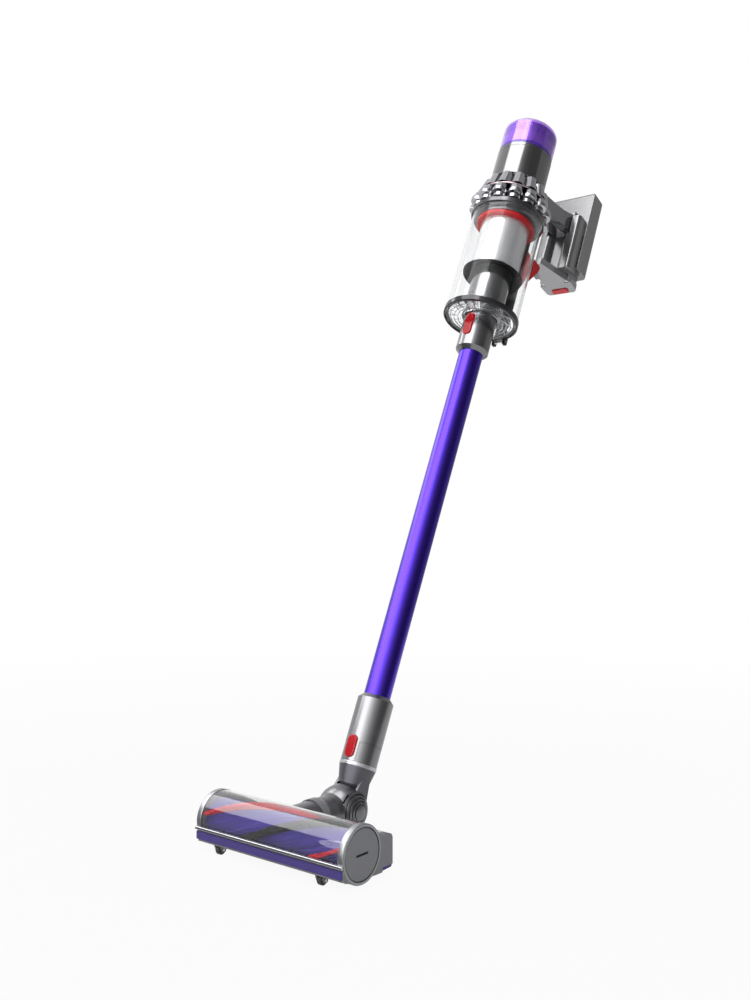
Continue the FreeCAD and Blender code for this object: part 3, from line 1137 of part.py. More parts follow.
def felt_strip(side, start, end):
    """One length of the rear felt, between or outside the rear rollers."""
    strip = new_body("rear_felt_" + side, FLOOR)
    top = "rear_bottom + rear_felt_height - seat_gap"
    shape = outline(strip, "felt_outline", "YZ_Plane", [
        ("rear_felt_front", "rear_bottom - 1"), ("head_rear - 2", "rear_bottom"),
        ("head_rear - 0.5", "rear_bottom + 1.5"), ("head_rear - 0.5", top), ("rear_felt_front", top)],
        offset=start)
    raised(strip, "felt", shape, "%s - (%s)" % (end, start))
    return strip


# ---- brush roller, its motor, end cap and bearing ------------------------------------------

def make_roller():
    inside = "head_half_width - cheek_thickness"
    motor = new_body("brush_motor", ROLLER)
    turned(motor, "motor", [
        ("-(%s) + seat_gap" % inside, "0"), ("-(%s) + seat_gap" % inside, "brush_motor_radius"),
        ("-(%s) + brush_motor_length - 3" % inside, "brush_motor_radius"),
        ("-(%s) + brush_motor_length" % inside, "brush_motor_radius - 3"),
        ("-(%s) + brush_motor_length" % inside, "0")], axis="H_Axis")
    node(motor, "brush_motor")

    end = inside + " - 2.5"
    core = new_body("brush_core", ROLLER)
    hub_inner = "bearing_radius + seat_gap"
    turned(core, "core", [
        ("-(%s)" % end, "core_bore"), ("-(%s)" % end, "core_radius"), (end, "core_radius"),
        (end, hub_inner), (end + " - bearing_width", hub_inner), (end + " - bearing_width", "core_bore")],
        axis="H_Axis")
    node(core, "brush_core")

    bearing = new_body("brush_bearing", ROLLER)
    bearing_low = end + " - bearing_width + 0.3"
    turned(bearing, "bearing", [
        (bearing_low, "bearing_bore"), (bearing_low, "bearing_radius - 0.05"),
        (end + " - 0.3", "bearing_radius - 0.05"), (end + " - 0.3", "bearing_bore")], axis="H_Axis")
    node(bearing, "brush_bearing")

    fabric = new_body("brush_fabric", ROLLER)
    turned(fabric, "sleeve", [
        ("-(%s)" % end, "core_radius + seat_gap"), ("-(%s)" % end, "fabric_radius"),
        (end, "fabric_radius"), (end, "core_radius + seat_gap")], axis="H_Axis")
    node(fabric, "brush_fabric")

    for label, first_angle in (("bristle_strips_red", 30.0), ("bristle_strips_black", 120.0)):
        strips = []
        for half_turn in range(2):
            strips.append(helical_strip(label, first_angle + 180.0 * half_turn))
        both = doc.addObject("Part::Feature", label)
        both.Shape = Part.makeCompound(strips)
        both.Placement = ROLLER
        node(both, label)

    cap = new_body("end_cap", ROLLER)
    spigot = "bearing_bore - pin_gap"
    turned(cap, "disc", [
        (bearing_low, "0"), (bearing_low, spigot), (inside + " - 1.5", spigot), (inside + " - 1.5", "end_cap_radius"),
        ("head_half_width - 1.5", "end_cap_radius"), ("head_half_width", "end_cap_radius - 1.5"),
        ("head_half_width", "0")], axis="H_Axis")
    slot = outline(cap, "coin_slot_outline", "YZ_Plane", [
        ("-end_cap_radius * 0.35", "-coin_slot_width / 2"), ("end_cap_radius * 0.35", "-coin_slot_width / 2"),
        ("end_cap_radius * 0.35", "coin_slot_width / 2"), ("-end_cap_radius * 0.35", "coin_slot_width / 2")],
        offset="head_half_width + 0.1")
    bored(cap, "coin_slot", slot, "2.6")
    node(cap, "end_cap")


def helical_strip(label, angle):
    """One bristle strip that winds along the roller, from its fabric to the bristle tips."""
    half = value("head_half_width - cheek_thickness - 4")
    low = value("fabric_radius + seat_gap")
    high = value("bristle_radius")
    wide = value("bristle_strip_width")
    turn = 360.0 * value("helix_turns")
    steps = 12
    sections = []
    for step in range(steps + 1):
        share = step / steps
        square = Part.makePolygon([
            FreeCAD.Vector(0, -wide / 2, low), FreeCAD.Vector(0, wide / 2, low),
            FreeCAD.Vector(0, wide / 2, high - 0.1), FreeCAD.Vector(0, -wide / 2, high - 0.1),
            FreeCAD.Vector(0, -wide / 2, low)])
        square.rotate(FreeCAD.Vector(), FreeCAD.Vector(1, 0, 0), angle - turn * share)
        square.translate(FreeCAD.Vector(-half + 2 * half * share, 0, 0))
        sections.append(square)
    return Part.makeLoft(sections, True, False)


# ---- wheels -------------------------------------------------------------------------------

def make_wheels():
    axles = []
    for name in ("front", "rear"):
        y = "-front_wheel_y" if name == "front" else "rear_wheel_y"
        width = name + "_wheel_width"
        radius = name + "_wheel_radius"
        for side, sign in (("left", "-1"), ("right", "1")):
            label = "%s_wheel_%s" % (name, side) if name == "front" else "rear_roller_" + side
            wheel = new_body(label, frame(("%s * %s_wheel_x" % (sign, name), y, radius)))
            half = "(%s / 2)" % width
            turned(wheel, "tyre", [
                ("-" + half, "axle_radius + pin_gap"), ("-" + half, radius + " - 0.8"),
                ("-%s + 0.8" % half, radius), ("%s - 0.8" % half, radius),
                (half, radius + " - 0.8"), (half, "axle_radius + pin_gap")], axis="H_Axis")
            node(wheel, label)
            reach = "%s / 2 + axle_boss - run_gap" % width
            place = frame(("%s * %s_wheel_x - (%s)" % (sign, name, reach), y, radius))
            axles.append(rod("axle_%s_%s" % (name, side), place, "axle_radius", "2 * (%s)" % reach,
                             (1, 0, 0)))
    node(group("axle_group", axles), "wheel_axles")


make_neck()
make_bellows()
make_elbow()
make_wand()
make_inlet()
make_cyclones()
make_motor()
make_filter()
make_bin()
make_runner()
make_grip()
make_battery()
make_head_shell()
make_head_trim()
make_roller()
make_wheels()

doc.recompute()
for item in doc.Objects:
    if "Invalid" in item.State or "Error" in item.State:
        raise RuntimeError("%s failed: %s" % (item.Label, item.State))
for item in NODES:
    if item.Shape.isNull() or not item.Shape.isValid() or not item.Shape.Solids:
        raise RuntimeError("%s has no valid solid" % item.Label)

os.makedirs("parts", exist_ok=True)
for item in NODES:
    item.Shape.exportStep("parts/%s.step" % item.Label)
print("%d nodes" % len(NODES))
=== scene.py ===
import json
import math
import random

import bmesh
import bpy
from mathutils import Matrix, Vector


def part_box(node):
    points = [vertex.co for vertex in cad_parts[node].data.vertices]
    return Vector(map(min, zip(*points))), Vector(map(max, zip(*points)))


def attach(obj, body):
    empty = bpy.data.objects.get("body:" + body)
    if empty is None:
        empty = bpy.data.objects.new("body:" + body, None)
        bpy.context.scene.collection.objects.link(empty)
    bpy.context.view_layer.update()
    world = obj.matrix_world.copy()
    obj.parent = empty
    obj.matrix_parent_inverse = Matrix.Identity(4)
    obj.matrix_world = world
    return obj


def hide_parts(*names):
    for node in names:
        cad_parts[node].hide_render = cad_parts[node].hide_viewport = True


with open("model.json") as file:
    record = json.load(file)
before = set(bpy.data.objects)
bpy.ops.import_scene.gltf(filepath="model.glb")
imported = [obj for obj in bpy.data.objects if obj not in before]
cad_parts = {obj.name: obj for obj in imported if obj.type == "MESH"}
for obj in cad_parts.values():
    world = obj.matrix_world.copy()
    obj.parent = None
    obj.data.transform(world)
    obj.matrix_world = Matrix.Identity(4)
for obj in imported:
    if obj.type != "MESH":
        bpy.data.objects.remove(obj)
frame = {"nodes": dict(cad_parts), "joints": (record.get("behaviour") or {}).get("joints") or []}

nodes = frame["nodes"]
joints = {joint["name"]: joint for joint in frame["joints"]}
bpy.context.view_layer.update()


# ---- studio --------------------------------------------------------------------------------------
# White paper under and round the object, one large softbox in front of the stick, another over the
# floor head, and black cards that give the metal its dark side. A low camera looks up the stick.

scene = bpy.context.scene
scene.view_settings.view_transform = "Standard"

CAMERA_PLACE = (0.9080, -0.9362, 0.4333)
CAMERA_TILT = math.radians(90.78)
CAMERA_HEADING = math.radians(39.22)
camera_data = bpy.data.cameras.new("camera")
camera_data.lens = 37.48
camera_data.sensor_width = 36
camera = bpy.data.objects.new("camera", camera_data)
camera.location = CAMERA_PLACE
camera.rotation_euler = (CAMERA_TILT, 0, CAMERA_HEADING)
scene.collection.objects.link(camera)
scene.camera = camera

# The white surroundings are seen by the eye, by gloss and through glass. Matt surfaces are lit by a
# quieter grey of the same room.
room = bpy.data.worlds.new("room")
room.use_nodes = True
scene.world = room


def calculated(tree, operation, *sources):
    """The result of one operation on sockets and plain numbers."""
    step = tree.nodes.new("ShaderNodeMath")
    step.operation = operation
    for entry, source in zip(step.inputs, sources):
        if isinstance(source, bpy.types.NodeSocket):
            tree.links.new(source, entry)
        else:
            entry.default_value = source
    return step.outputs[0]


def seen_directly(tree):
    """One for a ray that looks at the surroundings by eye, by gloss or through glass."""
    rays = tree.nodes.new("ShaderNodeLightPath").outputs
    eye_or_gloss = calculated(tree, "MAXIMUM", rays["Is Camera Ray"], rays["Is Glossy Ray"])
    return calculated(tree, "MAXIMUM", eye_or_gloss, rays["Is Transmission Ray"])


FILL_STRENGTH = 0.5
room_tree = room.node_tree
room_tree.nodes.clear()
fill_light = room_tree.nodes.new("ShaderNodeBackground")
fill_light.inputs["Strength"].default_value = FILL_STRENGTH
fill_light.inputs["Color"].default_value = (1, 1, 1, 1)
white_wall = room_tree.nodes.new("ShaderNodeBackground")
white_wall.inputs["Color"].default_value = (1, 1, 1, 1)
wall_or_fill = room_tree.nodes.new("ShaderNodeMixShader")
room_output = room_tree.nodes.new("ShaderNodeOutputWorld")
room_tree.links.new(seen_directly(room_tree), wall_or_fill.inputs[0])
room_tree.links.new(fill_light.outputs[0], wall_or_fill.inputs[1])
room_tree.links.new(white_wall.outputs[0], wall_or_fill.inputs[2])
room_tree.links.new(wall_or_fill.outputs[0], room_output.inputs["Surface"])

# The floor keeps a faint shadow near the object, and runs out into the white wall further off.
FLOOR_HALF = 12.0
SHADOW_NEAR, SHADOW_FAR = 0.6, 2.2
WHITENESS_NEAR, WHITENESS_FAR = 0.93, 1.0
floor_mesh = bpy.data.meshes.new("floor")
made = bmesh.new()
bmesh.ops.create_grid(made, x_segments=1, y_segments=1, size=FLOOR_HALF)
made.to_mesh(floor_mesh)
made.free()
floor = bpy.data.objects.new("floor", floor_mesh)
scene.collection.objects.link(floor)
paper = bpy.data.materials.new("floor_paper")
paper.use_nodes = True
paper_tree = paper.node_tree
paper_tree.nodes.clear()
paper_lit = paper_tree.nodes.new("ShaderNodeBsdfDiffuse")
paper_lit.inputs["Color"].default_value = (0.9, 0.9, 0.9, 1)
paper_white = paper_tree.nodes.new("ShaderNodeEmission")
from_middle = paper_tree.nodes.new("ShaderNodeTexCoord")
distance = paper_tree.nodes.new("ShaderNodeVectorMath")
distance.operation = "LENGTH"
paper_tree.links.new(from_middle.outputs["Object"], distance.inputs[0])
whiteness = paper_tree.nodes.new("ShaderNodeMapRange")
whiteness.inputs["From Min"].default_value = SHADOW_NEAR
whiteness.inputs["From Max"].default_value = SHADOW_FAR
whiteness.inputs["To Min"].default_value = WHITENESS_NEAR
whiteness.inputs["To Max"].default_value = WHITENESS_FAR
paper_tree.links.new(distance.outputs["Value"], whiteness.inputs["Value"])
paper_share = calculated(paper_tree, "MULTIPLY", seen_directly(paper_tree), whiteness.outputs["Result"])
paper_mix = paper_tree.nodes.new("ShaderNodeMixShader")
paper_output = paper_tree.nodes.new("ShaderNodeOutputMaterial")
paper_tree.links.new(paper_share, paper_mix.inputs[0])
paper_tree.links.new(paper_lit.outputs[0], paper_mix.inputs[1])
paper_tree.links.new(paper_white.outputs[0], paper_mix.inputs[2])
paper_tree.links.new(paper_mix.outputs[0], paper_output.inputs["Surface"])
floor_mesh.materials.append(paper)

# The large softbox draws a long light stripe down each round part, and a plain lamp at the same
# place lights the matt surfaces. Sizes are widths and heights in metres.
stick_middle = Vector((0.0, 0.34, 0.55))
SOFTBOX_GLOW = 4.4
STRIPE_SIZE = (1.5, 3.3)
MATT_SIZE = (0.9, 2.0)
HEAD_SIZE = (1.5, 1.72)
MATT_WATTS = 16


def softbox(name, size, place, seen_in_gloss, watts=None):
    """A rectangular lamp that faces the middle of the stick. Without watts it has the common glow."""
    data = bpy.data.lights.new(name, "AREA")
    data.shape = "RECTANGLE"
    data.size, data.size_y = size
    data.energy = watts or SOFTBOX_GLOW * math.pi * size[0] * size[1]
    lamp = bpy.data.objects.new(name, data)
    lamp.location = place
    lamp.rotation_mode = "QUATERNION"
    lamp.rotation_quaternion = (place - stick_middle).to_track_quat("Z", "Y")
    lamp.visible_glossy = seen_in_gloss
    lamp.visible_diffuse = not seen_in_gloss
    lamp.visible_transmission = seen_in_gloss
    scene.collection.objects.link(lamp)
    return lamp


softbox_place = stick_middle + Vector((-0.203, -0.703, 0.682)) * 1.75
softbox("stripe_softbox", STRIPE_SIZE, softbox_place, True)
softbox("matt_lamp", MATT_SIZE, softbox_place, False, MATT_WATTS)
head_softbox = softbox("head_softbox", HEAD_SIZE, Vector((-1.65, -0.35, 1.36)), True)
head_softbox.visible_transmission = False
head_softbox.rotation_quaternion = Matrix.Rotation(math.radians(9.35), 3, "X").to_quaternion()


def gloss_card(name, made, glow, through_glass):
    """A card that only gloss sees, with an even glow of its own."""
    paint = bpy.data.materials.new(name)
    paint.use_nodes = True
    shader = paint.node_tree.nodes["Principled BSDF"]
    shader.inputs["Base Color"].default_value = (0.004, 0.004, 0.004, 1)
    shader.inputs["Roughness"].default_value = 1.0
    shader.inputs["Specular IOR Level"].default_value = 0.0
    shader.inputs["Emission Color"].default_value = (glow, glow, glow, 1)
    shader.inputs["Emission Strength"].default_value = 1.0
    mesh = bpy.data.meshes.new(name)
    made.to_mesh(mesh)
    made.free()
    mesh.materials.append(paint)
    card = bpy.data.objects.new(name, mesh)
    scene.collection.objects.link(card)
    card.visible_camera = False
    card.visible_diffuse = False
    card.visible_shadow = False
    card.visible_transmission = through_glass


# A curved row of cards runs round from the softbox past the camera's right, and falls from bright to
# dark, so that the stripe has a soft right edge and a dark side. Each has its angle to the camera's
# right, in degrees, and its glow.
CARD_RADIUS = 1.3
CARD_HEIGHT = 5.0
LAST_CARD_THROUGH_GLASS = 150
toward_camera = math.atan2(-1.276, 0.908)
card_row = ((-28, 3.3), (-16, 2.3), (-5, 1.5), (6, 0.95), (17, 0.6), (29, 0.33), (42, 0.2),
            (58, 0.15), (92, 0.38), (150, 0.38), (172, 0))
for number, ((first, glow), (last, _)) in enumerate(zip(card_row, card_row[1:])):
    made = bmesh.new()
    start = toward_camera + math.radians(first)
    foot = made.verts.new((CARD_RADIUS * math.cos(start),
                           stick_middle.y + CARD_RADIUS * math.sin(start), 0.0))
    bmesh.ops.spin(made, geom=[foot], cent=(0, stick_middle.y, 0), axis=(0, 0, 1),
                   angle=math.radians(last - first), steps=12)
    upper = bmesh.ops.extrude_edge_only(made, edges=made.edges)["geom"]
    bmesh.ops.translate(made, vec=(0, 0, CARD_HEIGHT),
                        verts=[corner for corner in upper if isinstance(corner, bmesh.types.BMVert)])
    gloss_card("curved_card_%d" % number, made, glow, last <= LAST_CARD_THROUGH_GLASS)

# A low upright card stands beyond the front of the floor head, and a dark one lies in front of it.
DARK_GLOW = 0.02
for name, width, length, upright, place in (("low_card", 1.5, 1.17, 90, (-1.65, -1.25, 0.585)),
                                            ("floor_card", 1.6, 1.1, 0, (-0.66, -0.62, 0.002))):
    made = bmesh.new()
    bmesh.ops.create_grid(made, x_segments=1, y_segments=1, size=0.5)
    bmesh.ops.scale(made, vec=(width, length, 1), verts=made.verts)
    bmesh.ops.rotate(made, cent=(0, 0, 0), matrix=Matrix.Rotation(math.radians(upright), 3, "X"),
                     verts=made.verts)
    bmesh.ops.translate(made, vec=place, verts=made.verts)
    gloss_card(name, made, DARK_GLOW, False)


# ---- floor head shell ----------------------------------------------------------------------------
# Chassis and rear cover are moulded in satin grey plastic with a fine sparked grain; the strip
# between window and cover is a paler moulding. All parting edges carry a small round.

def procedural(name, colour, roughness, metallic=0.0):
    """A new material with the values that are the same all over set on its shader."""
    finish = bpy.data.materials.new(name)
    finish.use_nodes = True
    shader = finish.node_tree.nodes["Principled BSDF"]
    shader.inputs["Base Color"].default_value = (*colour, 1)
    shader.inputs["Roughness"].default_value = roughness
    shader.inputs["Metallic"].default_value = metallic
    return finish, shader


def place_on_object(finish, centre=(0, 0, 0), turn_x=0.0, stretch=(1, 1, 1)):
    """Object coordinates, centred, turned and stretched for a pattern."""
    tree = finish.node_tree
    coordinates = tree.nodes.new("ShaderNodeTexCoord")
    mapping = tree.nodes.new("ShaderNodeMapping")
    mapping.vector_type = "TEXTURE"
    mapping.inputs["Location"].default_value = centre
    mapping.inputs["Rotation"].default_value = (turn_x, 0, 0)
    mapping.inputs["Scale"].default_value = stretch
    tree.links.new(coordinates.outputs["Object"], mapping.inputs["Vector"])
    return mapping.outputs["Vector"]


def mottled(finish, shader, where, colour, size, spread, roughness, roughness_spread):
    """Colour and gloss that drift a little over the surface, in patches of the given size."""
    tree = finish.node_tree
    patches = tree.nodes.new("ShaderNodeTexNoise")
    patches.inputs["Scale"].default_value = 1 / size
    patches.inputs["Detail"].default_value = 4
    tree.links.new(where, patches.inputs["Vector"])
    tint = tree.nodes.new("ShaderNodeMix")
    tint.data_type = "RGBA"
    tint.inputs["A"].default_value = (*[c * (1 - spread) for c in colour], 1)
    tint.inputs["B"].default_value = (*[min(1, c * (1 + spread)) for c in colour], 1)
    tree.links.new(patches.outputs["Fac"], tint.inputs["Factor"])
    tree.links.new(tint.outputs["Result"], shader.inputs["Base Color"])
    gloss = tree.nodes.new("ShaderNodeMapRange")
    gloss.inputs["To Min"].default_value = roughness - roughness_spread
    gloss.inputs["To Max"].default_value = roughness + roughness_spread
    tree.links.new(patches.outputs["Fac"], gloss.inputs["Value"])
    tree.links.new(gloss.outputs["Result"], shader.inputs["Roughness"])


def grained(finish, shader, where, size, depth):
    """A fine raised grain."""
    tree = finish.node_tree
    grain = tree.nodes.new("ShaderNodeTexNoise")
    grain.inputs["Scale"].default_value = 1 / size
    grain.inputs["Detail"].default_value = 3
    tree.links.new(where, grain.inputs["Vector"])
    bump = tree.nodes.new("ShaderNodeBump")
    bump.inputs["Distance"].default_value = depth
    bump.inputs["Strength"].default_value = 0.6
    tree.links.new(grain.outputs["Fac"], bump.inputs["Height"])
    tree.links.new(bump.outputs["Normal"], shader.inputs["Normal"])


def moulded(name, colour, roughness, grain=0.0004, depth=0.00003, metallic=0.0, spread=0.06,
            shine=0.5):
    """Moulded plastic or metal: a fine grain under a slightly uneven gloss."""
    finish, shader = procedural(name, colour, roughness, metallic)
    shader.inputs["Specular IOR Level"].default_value = shine
    where = place_on_object(finish)
    mottled(finish, shader, where, colour, 0.03, spread, roughness, min(0.05, 0.3 * roughness))
    grained(finish, shader, where, grain, depth)
    return finish


def dress(names, finish, edge=0.0004, segments=2):
    """Gives CAD pieces their finish, and a small round on every hard edge."""
    for name in names:
        piece = nodes[name]
        piece.data.materials.clear()
        piece.data.materials.append(finish)
        if not edge:
            continue
        weld = piece.modifiers.new("weld", "WELD")
        weld.merge_threshold = 0.000002
        flat = piece.modifiers.new("flat_faces", "DECIMATE")
        flat.decimate_type = "DISSOLVE"
        flat.angle_limit = math.radians(0.6)
        soft = piece.modifiers.new("soft_edges", "BEVEL")
        soft.width = edge
        soft.segments = segments
        soft.limit_method = "ANGLE"
        soft.angle_limit = math.radians(38)
        level = piece.modifiers.new("level_normals", "WEIGHTED_NORMAL")
        level.weight = 80


head_grey = moulded("head_grey", (0.215, 0.218, 0.235), 0.42)
dress(["head_chassis", "head_rear_cover"], head_grey)
wing_pale = moulded("wing_pale", (0.62, 0.62, 0.65), 0.3)
dress(["head_wing"], wing_pale)


# ---- window and its end rings --------------------------------------------------------------------
# The clear window over the roller is moulded polycarbonate. A bright metallised ring closes each of
# its ends and snaps round the cheek of the chassis.

WINDOW_OUTSIDE = 0.0349
ROLLER_HEIGHT = 0.036
CHEEK_INSIDE = 0.119


def see_through(name, colour, roughness, ior):
    """Clear moulded plastic."""
    finish, shader = procedural(name, colour, roughness)
    shader.inputs["Transmission Weight"].default_value = 1.0
    shader.inputs["IOR"].default_value = ior
    mottled(finish, shader, place_on_object(finish), colour, 0.02, 0.01, roughness, 0.3 * roughness)
    return finish


window_clear = see_through("window_clear", (0.97, 0.975, 0.98), 0.012, 1.5)
dress(["head_window"], window_clear)


def finished(name, made, finish, body, sharp=35):
    """Turns a worked shape into a piece that rides on its body."""
    mesh = bpy.data.meshes.new(name)
    made.to_mesh(mesh)
    made.free()
    mesh.shade_smooth()
    mesh.set_sharp_from_angle(angle=math.radians(sharp))
    mesh.materials.append(finish)
    piece = bpy.data.objects.new(name, mesh)
    scene.collection.objects.link(piece)
    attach(piece, body)
    return piece


def turned_shape(section, steps=96):
    """A closed section of (radius, height) pairs, turned about the local Z axis."""
    made = bmesh.new()
    points = [made.verts.new((radius, 0, height)) for radius, height in section]
    sides = [made.edges.new((one, other)) for one, other in zip(points, points[1:] + points[:1])]
    bmesh.ops.spin(made, geom=points + sides, cent=(0, 0, 0), axis=(0, 0, 1), angle=2 * math.pi,
                   steps=steps, use_merge=True)
    bmesh.ops.remove_doubles(made, verts=made.verts, dist=0.000001)
    bmesh.ops.recalc_face_normals(made, faces=made.faces)
    return made


def rounded(made, width, segments=2, at_least=30):
    """Rounds every edge that is sharper than the given angle."""
    sharp = [edge for edge in made.edges if len(edge.link_faces) == 2
             and edge.calc_face_angle(0) > math.radians(at_least)]
    bmesh.ops.bevel(made, geom=sharp, offset=width, affect="EDGES", segments=segments, profile=0.5,
                    material=-1)
    return made


ring_chrome = moulded("ring_chrome", (0.30, 0.305, 0.32), 0.34, depth=0.000004, metallic=0.7)
along_roller = Matrix.Translation((0, 0, ROLLER_HEIGHT)) @ Matrix.Rotation(math.radians(90), 4, "Y")
RING_BORE = 0.0319
RING_SEAT = WINDOW_OUTSIDE + 0.00002
RING_RIM = WINDOW_OUTSIDE + 0.0005
RING_FACE, RING_BACK = 0.12503, 0.1249
for side, sign in (("left", -1), ("right", 1)):
    made = turned_shape([(RING_SEAT, CHEEK_INSIDE - 0.0022), (RING_RIM, CHEEK_INSIDE - 0.0020),
                         (RING_RIM, 0.1240), (WINDOW_OUTSIDE - 0.0007, RING_FACE),
                         (RING_BORE, RING_FACE), (RING_BORE, RING_BACK), (RING_SEAT, RING_BACK)])
    rounded(made, 0.0003)
    bmesh.ops.transform(made, matrix=along_roller, verts=made.verts)
    bmesh.ops.scale(made, vec=(sign, 1, 1), verts=made.verts)
    bmesh.ops.recalc_face_normals(made, faces=made.faces)
    finished("end_ring_" + side, made, ring_chrome, "head")


# ---- end cap -------------------------------------------------------------------------------------
# The disc that closes the roller's open end is satin grey plastic. A coin in its slot turns it loose.
# A black plate on the slot's floor is painted shade, standing in for the shadow deep in the slot.

dress(["end_cap"], head_grey)
# Painted shade: the black plate darkens the slot's floor.
slot_shadow_black = moulded("slot_shadow_black", (0.006, 0.006, 0.007), 0.5)
SLOT_SHADOW_SIZE = (0.0004, 0.0215, 0.0027)
SLOT_FLOOR = 0.1228
made = bmesh.new()
bmesh.ops.create_cube(made, size=1.0)
bmesh.ops.scale(made, vec=SLOT_SHADOW_SIZE, verts=made.verts)
rounded(made, 0.0001)
bmesh.ops.translate(made, vec=(SLOT_FLOOR, 0, ROLLER_HEIGHT), verts=made.verts)
finished("slot_shadow_plate", made, slot_shadow_black, "roller_door")


# ---- front bar and felts -------------------------------------------------------------------------
# A bright metallised bar runs along the window's foot. Below it, and under the back edge, strips of
# thick violet felt are glued on to sweep the floor; their cut face shows the matted fibres.

bar_silver = moulded("bar_silver", (0.44, 0.44, 0.47), 0.22, depth=0.000006, metallic=0.75)
dress(["front_bar"], bar_silver)


def felted(name, colour, depth):
    """Matted fibres: light and dark flecks drawn out along X, over a rough nap with a soft sheen."""
    finish, shader = procedural(name, colour, 1.0)
    where = place_on_object(finish, stretch=(2.5, 1, 1))
    mottled(finish, shader, where, colour, 0.0012, 0.45, 0.93, 0.05)
    grained(finish, shader, where, 0.0006, depth)
    shader.inputs["Sheen Weight"].default_value = 0.3
    shader.inputs["Sheen Roughness"].default_value = 0.6
    shader.inputs["Specular IOR Level"].default_value = 0.2
    return finish


felt_violet = felted("felt_violet", (0.066, 0.038, 0.29), 0.0004)
dress(["front_felt", "rear_felt"], felt_violet)


# ---- brush roller --------------------------------------------------------------------------------
# The hollow black core is wrapped in violet nap, with two red nylon and two black carbon bristle strips
# wound round it. The fibres are set in rows and lean a little out of line.

STRIP_HALF_LENGTH = 0.115
STRIP_TURN = math.pi
core_black = moulded("core_black", (0.03, 0.03, 0.035), 0.5)
dress(["brush_core"], core_black)

nap_violet, nap_shader = procedural("nap_violet", (0.032, 0.017, 0.20), 0.9)
nap_shader.inputs["Sheen Weight"].default_value = 0.15
nap_shader.inputs["Sheen Roughness"].default_value = 0.5
nap_shader.inputs["Specular IOR Level"].default_value = 0.15
nap_tree = nap_violet.node_tree
nap_split = nap_tree.nodes.new("ShaderNodeSeparateXYZ")
nap_tree.links.new(place_on_object(nap_violet, centre=(0, 0, ROLLER_HEIGHT)), nap_split.inputs[0])
nap_place = nap_split.outputs
nap_angle = calculated(nap_tree, "ARCTAN2", nap_place["Z"], nap_place["Y"])
nap_unwound = calculated(nap_tree, "MULTIPLY_ADD", nap_place["X"], STRIP_TURN / (2 * STRIP_HALF_LENGTH),
                         nap_angle)
nap_where = nap_tree.nodes.new("ShaderNodeCombineXYZ")
for axis, source in (("X", calculated(nap_tree, "MULTIPLY", nap_place["X"], 1.2)),
                     ("Y", calculated(nap_tree, "COSINE", nap_unwound)),
                     ("Z", calculated(nap_tree, "SINE", nap_unwound))):
    nap_tree.links.new(source, nap_where.inputs[axis])
# The nap's tone follows helical bands along the strips' winding: darker and lighter rows of the nap,
# with the lightest bands painted highlights.
nap_rows_and_highlights = nap_tree.nodes.new("ShaderNodeTexNoise")
nap_rows_and_highlights.inputs["Scale"].default_value = 9
nap_rows_and_highlights.inputs["Detail"].default_value = 6
nap_rows_and_highlights.inputs["Roughness"].default_value = 0.65
nap_tree.links.new(nap_where.outputs[0], nap_rows_and_highlights.inputs["Vector"])
nap_tones_and_highlights = nap_tree.nodes.new("ShaderNodeValToRGB")
nap_tones_and_highlights.color_ramp.elements[0].position = 0.34
nap_tones_and_highlights.color_ramp.elements[0].color = (0.013, 0.006, 0.085, 1)
nap_tones_and_highlights.color_ramp.elements[1].position = 0.56
nap_tones_and_highlights.color_ramp.elements[1].color = (0.034, 0.018, 0.21, 1)
highlight_row = nap_tones_and_highlights.color_ramp.elements.new(0.68)
highlight_row.color = (0.085, 0.055, 0.36, 1)
nap_tree.links.new(nap_rows_and_highlights.outputs["Fac"], nap_tones_and_highlights.inputs[0])
nap_tree.links.new(nap_tones_and_highlights.outputs["Color"], nap_shader.inputs["Base Color"])
nap_bump = nap_tree.nodes.new("ShaderNodeBump")
nap_bump.inputs["Distance"].default_value = 0.0006
nap_bump.inputs["Strength"].default_value = 0.8
nap_tree.links.new(nap_rows_and_highlights.outputs["Fac"], nap_bump.inputs["Height"])
nap_tree.links.new(nap_bump.outputs["Normal"], nap_shader.inputs["Normal"])
dress(["brush_fabric"], nap_violet, edge=0)

scatter = random.Random(7)


STRIP_ROWS = 210
FIBRE_MIDDLE = 0.0290
FIBRE_LENGTH = 0.0078
FIBRE_PITCH = 0.0006
FIBRE_SCATTER = 0.0006


